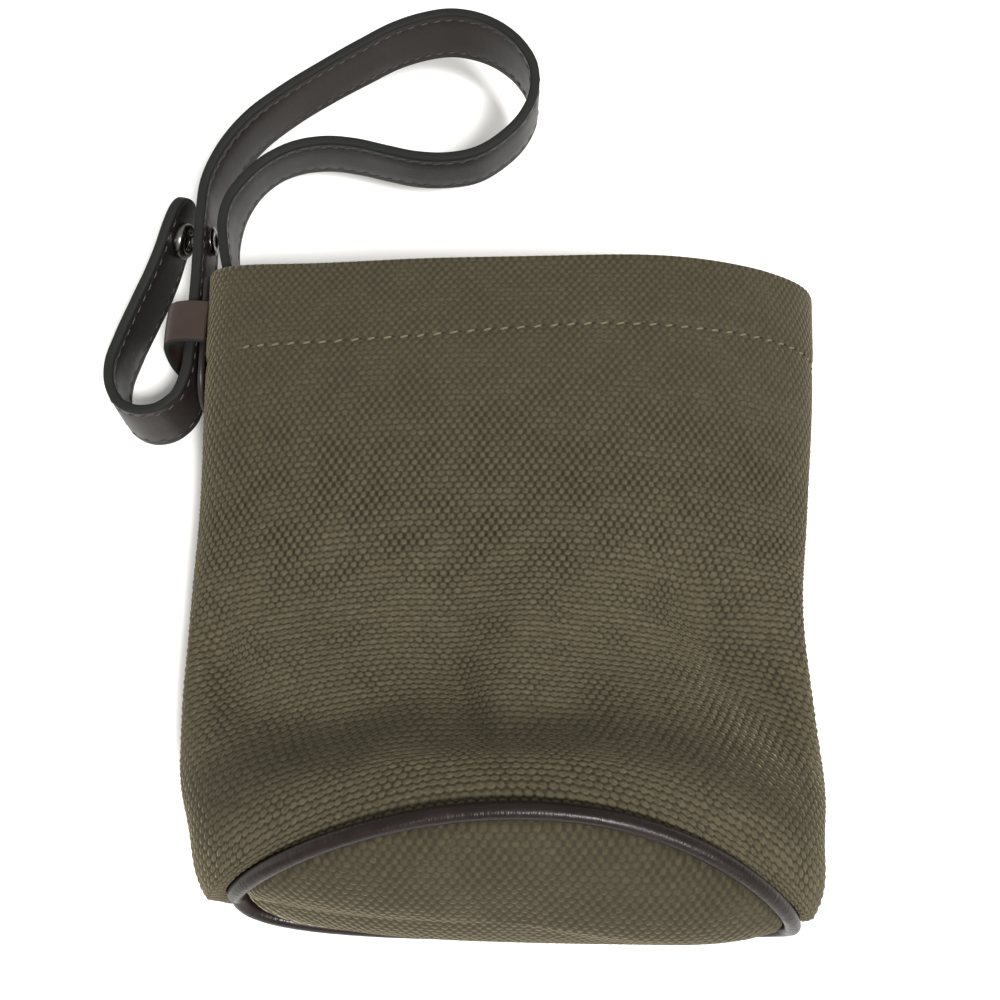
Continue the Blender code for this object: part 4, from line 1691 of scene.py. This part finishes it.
@dataclass
class SidePatch:
    """Thin leather on the left of the mouth, which the strap and the keeper are sewn to."""

    form: PouchForm
    thickness: float = 1.5
    half_width: float = 10.5
    length: float = 33.0
    rim_inset: float = 0.4
    snug: float = 0.45
    slope_over: float = 0.5        # half the stretch that its direction is measured over
    columns: int = 41
    rows: int = 66
    corner: float = 0.5
    corner_drop: float = 0.4
    cloth_x: float = 20.0          # the patch's place in the leather's pattern

    def place(self, up: float, across: float) -> tuple[Array, Array]:
        """A point just off the wall and its outward direction.

        Args:
            up: part of the wall's height.
            across: part of the half width, from the wall's left side.

        Returns:
            The point and a unit direction.
        """
        loop = self.form.loop(up)
        where = loop.lengths[self.form.fine_points // 4] + across * self.half_width
        along = loop.at(where + self.slope_over) - loop.at(where - self.slope_over)
        outward = unit([-abs(along[2]), 0.0, along[0] * np.sign(along[2])])
        return loop.at(where) + outward * self.snug, outward

    def build(self) -> bpy.types.Object:
        """Lay the patch on the wall, its lower end rounded.

        Returns:
            The patch.
        """
        top = 1.0 - self.rim_inset / WALL_HEIGHT
        inner = []
        outer = []
        cloth = []
        for share in np.arange(self.rows) / (self.rows - 1):
            for spot in np.sin(np.linspace(-math.pi / 2, math.pi / 2, self.columns)):
                drop = math.sqrt(max(1.0 - spot * spot, 0.0)) * self.half_width
                full = self.length - self.half_width + drop
                length = full * (1.0 - share)
                place, outward = self.place(top - length / WALL_HEIGHT, spot)
                end = min(length, full * share + 1e-6)
                edge = min(self.half_width * (1 - abs(spot)), end, self.corner) / self.corner
                round_off = 1 - math.sqrt(max(1 - (1 - edge) ** 2, 0.0))
                inner.append(place)
                outer.append(place + outward * (self.thickness - self.corner_drop * round_off))
                cloth.append((spot * self.half_width + self.cloth_x, length))
        number = np.arange(self.rows * self.columns).reshape(self.rows, self.columns)
        ring = np.concatenate([number[0], number[1:, -1], number[-1, -2::-1],
                               number[-2:0:-1, 0]]).tolist()
        faces = grid_faces(self.rows, self.columns)
        faces += [tuple(corner + number.size for corner in face) for face in faces]
        faces += [(first, second, second + number.size, first + number.size)
                  for first, second in zip(ring, ring[1:] + ring[:1])]
        return make_piece("side_patch_cover", np.array(inner + outer), faces,
                          np.array(cloth + cloth))


class Half(NamedTuple):
    """One half of the snap: a piece on each face of the strap, at a place and a tilt."""

    place: Place
    tilt: float                    # degrees


TIP = Half((-89.8, 176.0, 19.3), 15.0)
RUN = Half((-81.15, 175.2, 19.3), 0.0)


class Pressing(NamedTuple):
    """One piece of the snap: a disc whose outer face is inset step by step."""

    node: str                      # the CAD node that it stands for
    name: str
    half: Half
    facing: float                  # 1 for the side towards +X, -1 for the other
    radius: float
    depth: float
    insets: tuple[Span, ...]       # width and rise of each step
    round_off: float


PRESSINGS = (
    Pressing("snap_cap", "snap_cap_cover", TIP, -1.0, 5.6, 0.4, (
        (0.5, 0.35), (0.8, 0.45), (1.1, 0.35), (1.3, 0.25), (1.1, 0.08)), 0.12),
    Pressing("snap_socket", "snap_socket_ring", TIP, 1.0, 5.0, 1.4, (
        (0.35, 0.5), (0.5, 0.35), (0.6, 0.12), (0.5, -0.15), (0.3, -0.5), (0.02, -0.9)), 0.12),
    Pressing("snap_stud", "snap_stud_post", RUN, -1.0, 4.2, 0.35, (
        (2.2, 0.1), (0.35, 0.2), (0.0, 0.4), (-0.1, 0.25), (-0.2, 0.3), (0.0, 0.5),
        (0.3, 0.35), (0.5, 0.2)), 0.08),
    Pressing("snap_post", "snap_post_head", RUN, 1.0, 4.1, 0.3, (
        (0.4, 0.25), (0.8, 0.2), (0.9, -0.05), (0.7, -0.3), (0.6, -0.1)), 0.1),
)


@dataclass
class Snap:
    """Ring snap of stamped brass between the strap's tip and its run."""

    off: float = 1.8               # strap's middle to the metal
    segments: int = 48
    bevel_angle: float = 40.0      # degrees; sharper edges than this are rounded
    smooth_angle: float = 35.0

    def blank(self, part: Pressing) -> bpy.types.Object:
        """Add the disc that stands on the strap's face, with its axis along its own Z.

        Args:
            part: the piece and its sizes.

        Returns:
            The disc.
        """
        tilt = math.radians(part.half.tilt)
        axis = np.array([math.cos(tilt), -math.sin(tilt), 0.0]) * part.facing
        middle = to_frame(np.array(part.half.place) + axis * (self.off + part.depth / 2))[0]
        bpy.ops.object.select_all(action="DESELECT")
        bpy.ops.mesh.primitive_cylinder_add(vertices=self.segments, radius=part.radius * MM,
                                            depth=part.depth * MM, location=middle)
        obj = bpy.context.object
        obj.name = obj.data.name = part.name
        obj.rotation_mode = "QUATERNION"
        obj.rotation_quaternion = Vector(axis).to_track_quat("Z", "Y")
        return obj

    def press(self, obj: bpy.types.Object, insets: Sequence[Span]) -> None:
        """Inset the disc's outer face again and again, each time by a width and a rise.

        Args:
            obj: the disc.
            insets: width and rise of each step.
        """
        top = max(polygon.center.z for polygon in obj.data.polygons)
        for part in (*obj.data.edges, *obj.data.vertices):
            part.select = False
        for polygon in obj.data.polygons:
            polygon.select = polygon.normal.z > 0.9 and polygon.center.z > top - 1e-6
        bpy.ops.object.mode_set(mode="EDIT")
        bpy.ops.mesh.select_mode(type="FACE")
        for width, rise in insets:
            bpy.ops.mesh.inset(thickness=width * MM, depth=rise * MM)
        bpy.ops.object.mode_set(mode="OBJECT")

    def finish(self, obj: bpy.types.Object, round_off: float) -> None:
        """Round the edges, put the place into the mesh and shade it smooth.

        Args:
            obj: the pressed disc.
            round_off: width of the rounding, millimetres.
        """
        bevel = obj.modifiers.new("round_off", "BEVEL")
        bevel.width = round_off * MM
        bevel.segments = 3
        bevel.limit_method = "ANGLE"
        bevel.angle_limit = math.radians(self.bevel_angle)
        bpy.ops.object.modifier_apply(modifier=bevel.name)
        bpy.ops.object.transform_apply(location=True, rotation=True, scale=True)
        bpy.ops.object.shade_smooth_by_angle(angle=math.radians(self.smooth_angle))

    def build(self) -> dict[str, bpy.types.Object]:
        """Make the four pieces.

        Returns:
            Each piece by the node that it stands for.
        """
        pieces = {}
        for part in PRESSINGS:
            obj = self.blank(part)
            self.press(obj, part.insets)
            self.finish(obj, part.round_off)
            pieces[part.node] = obj
        return pieces


@dataclass(frozen=True)
class Panel:
    """A square soft light, turned to the pouch."""

    name: str
    place: Place
    size: float
    watts: float


@dataclass
class Studio:
    """Paper floor, soft light from the camera's right, low fill at the left, and the camera."""

    floor_size: float = 6.0
    camera_place: Place = (0.0, -0.080, 0.262)
    camera_tilt: float = 22.0
    lens: float = 37.8
    sensor: float = 36.0
    near_clip: float = 0.01
    panels: tuple[Panel, ...] = (
        Panel("softbox", (0.43, -0.81, 1.25), 0.22, 34.0),
        Panel("left_fill", (-0.6, -0.05, 0.16), 0.3, 0.5))
    sky: float = 0.7

    def build(self) -> None:
        """Put the floor, the lights and the camera in the scene."""
        bpy.ops.object.select_all(action="DESELECT")
        bpy.ops.mesh.primitive_plane_add(size=self.floor_size, location=(0.0, 0.0, 0.0))
        floor = bpy.context.object
        floor.name = "paper_floor"
        floor.data.materials.append(PaperSweep().build())
        for panel in self.panels:
            self.soft_light(panel)
        self.sky_light()
        self.camera()

    def soft_light(self, panel: Panel) -> None:
        """Hang one panel.

        Args:
            panel: its place, size and power.
        """
        light = bpy.data.lights.new(panel.name, "AREA")
        light.shape = "SQUARE"
        light.size = panel.size
        light.energy = panel.watts
        lamp = bpy.data.objects.new(panel.name, light)
        lamp.location = panel.place
        lamp.rotation_mode = "QUATERNION"
        lamp.rotation_quaternion = (-Vector(panel.place)).to_track_quat("-Z", "Y")
        bpy.context.scene.collection.objects.link(lamp)

    def sky_light(self) -> None:
        """White room all round."""
        world = bpy.data.worlds.new("white_room")
        world.use_nodes = True
        back = world.node_tree.nodes["Background"]
        back.inputs["Color"].default_value = (1.0, 1.0, 1.0, 1.0)
        back.inputs["Strength"].default_value = self.sky
        bpy.context.scene.world = world

    def camera(self) -> None:
        """Camera at the photograph's angle."""
        data = bpy.data.cameras.new("view")
        data.lens = self.lens
        data.sensor_width = self.sensor
        data.clip_start = self.near_clip
        camera = bpy.data.objects.new("view", data)
        camera.location = self.camera_place
        camera.rotation_euler = (math.radians(self.camera_tilt), 0.0, 0.0)
        bpy.context.scene.collection.objects.link(camera)
        bpy.context.scene.camera = camera
        bpy.context.scene.view_settings.view_transform = "Standard"


def dress(piece: bpy.types.Object, materials: Sequence[bpy.types.Material],
          nodes: Sequence[str] = ()) -> None:
    """Give a piece its materials, its body and the nodes it stands for.

    Args:
        piece: the finished piece.
        materials: one for each of its material slots.
        nodes: CAD nodes that it replaces.
    """
    for material in materials:
        piece.data.materials.append(material)
    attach(piece, "root")
    if nodes:
        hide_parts(*nodes)
    log.info("%s: %d faces", piece.name, len(piece.data.polygons))


def build_canvas(form: PouchForm) -> None:
    """Make and dress the canvas pieces, their stitches and the piping.

    Args:
        form: the pouch's form.
    """
    canvas = CottonCanvas().build()
    # the base's copy of the canvas has darker yarn and worn colours: painted shade
    base_canvas_with_painted_shade = CottonCanvas("olive cotton duck of the base, with painted shade", yarn="#3a3528",
                               worn="#504937").build()
    hem_thread = WaxedThread("hem thread", "#6b634c", "#454030", roughness=0.8).build()
    # the needle holes' material is painted shade, for dark discs where the holes lie
    needle_hole_shade = WaxedThread("painted shade in the needle holes", "#1d1a13", "#14120d",
                              roughness=0.9).build()
    piping = BridleLeather("piping leather", "#150e0c", "#1f1613", roughness=0.36,
                           roughness_spread=0.3, specular=0.2, wrinkle=0.9,
                           wrinkle_height=0.2).build()
    wall = CanvasWall(form)
    dress(wall.build(), [canvas], ["pouch_body"])
    stitch = StitchRow(length=2.4, thickness=0.62, slant=12.0)
    dress(stitch.build("hem_stitches", [wall.stitches()]), [hem_thread])
    # dark discs at the needle holes: painted shade
    hole = StitchRow(length=0.95, thickness=0.7, slant=0.0, arch=0.0)
    dress(hole.build("needle_holes", [wall.needle_holes()]), [needle_hole_shade])
    dress(BaseCover(form).build(), [base_canvas_with_painted_shade], ["base_panel"])
    dress(Piping(form).build(), [piping], ["base_piping"])


def build_strap(form: PouchForm) -> None:
    """Make and dress the patch, the strap, its stitches, the keeper and the snap.

    Args:
        form: the pouch's form.
    """
    leather = BridleLeather("strap leather", "#1d1816", "#251f1d").build()
    grain = BridleLeather("strap leather, outer side", "#161514", "#1d1c1b",
                          specular=0.24).build()
    keeper_leather = BridleLeather("keeper leather", "#2e231e", "#392b25").build()
    paint = EdgePaint().build()
    thread = WaxedThread("strap thread", "#35302d", "#151211").build()
    nickel = NickelPlate().build()
    dress(SidePatch(form).build(), [leather], ["side_patch"])
    strap = Strap()
    dress(strap.build(), [leather, paint, grain], ["strap"])
    stitch = StitchRow(length=2.5, thickness=0.6, arch=0.3)
    dress(stitch.build("strap_stitches", strap.stitches()), [thread])
    dress(Keeper().build(), [keeper_leather, paint], ["strap_keeper"])
    for node, piece in Snap().build().items():
        dress(piece, [nickel], [node])


def main() -> None:
    """Load the frame, and build the pouch and the studio round it."""
    logging.basicConfig(level=logging.INFO, format="%(message)s")
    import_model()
    form = PouchForm()
    build_canvas(form)
    build_strap(form)
    Studio().build()


if __name__ == "__main__":
    main()
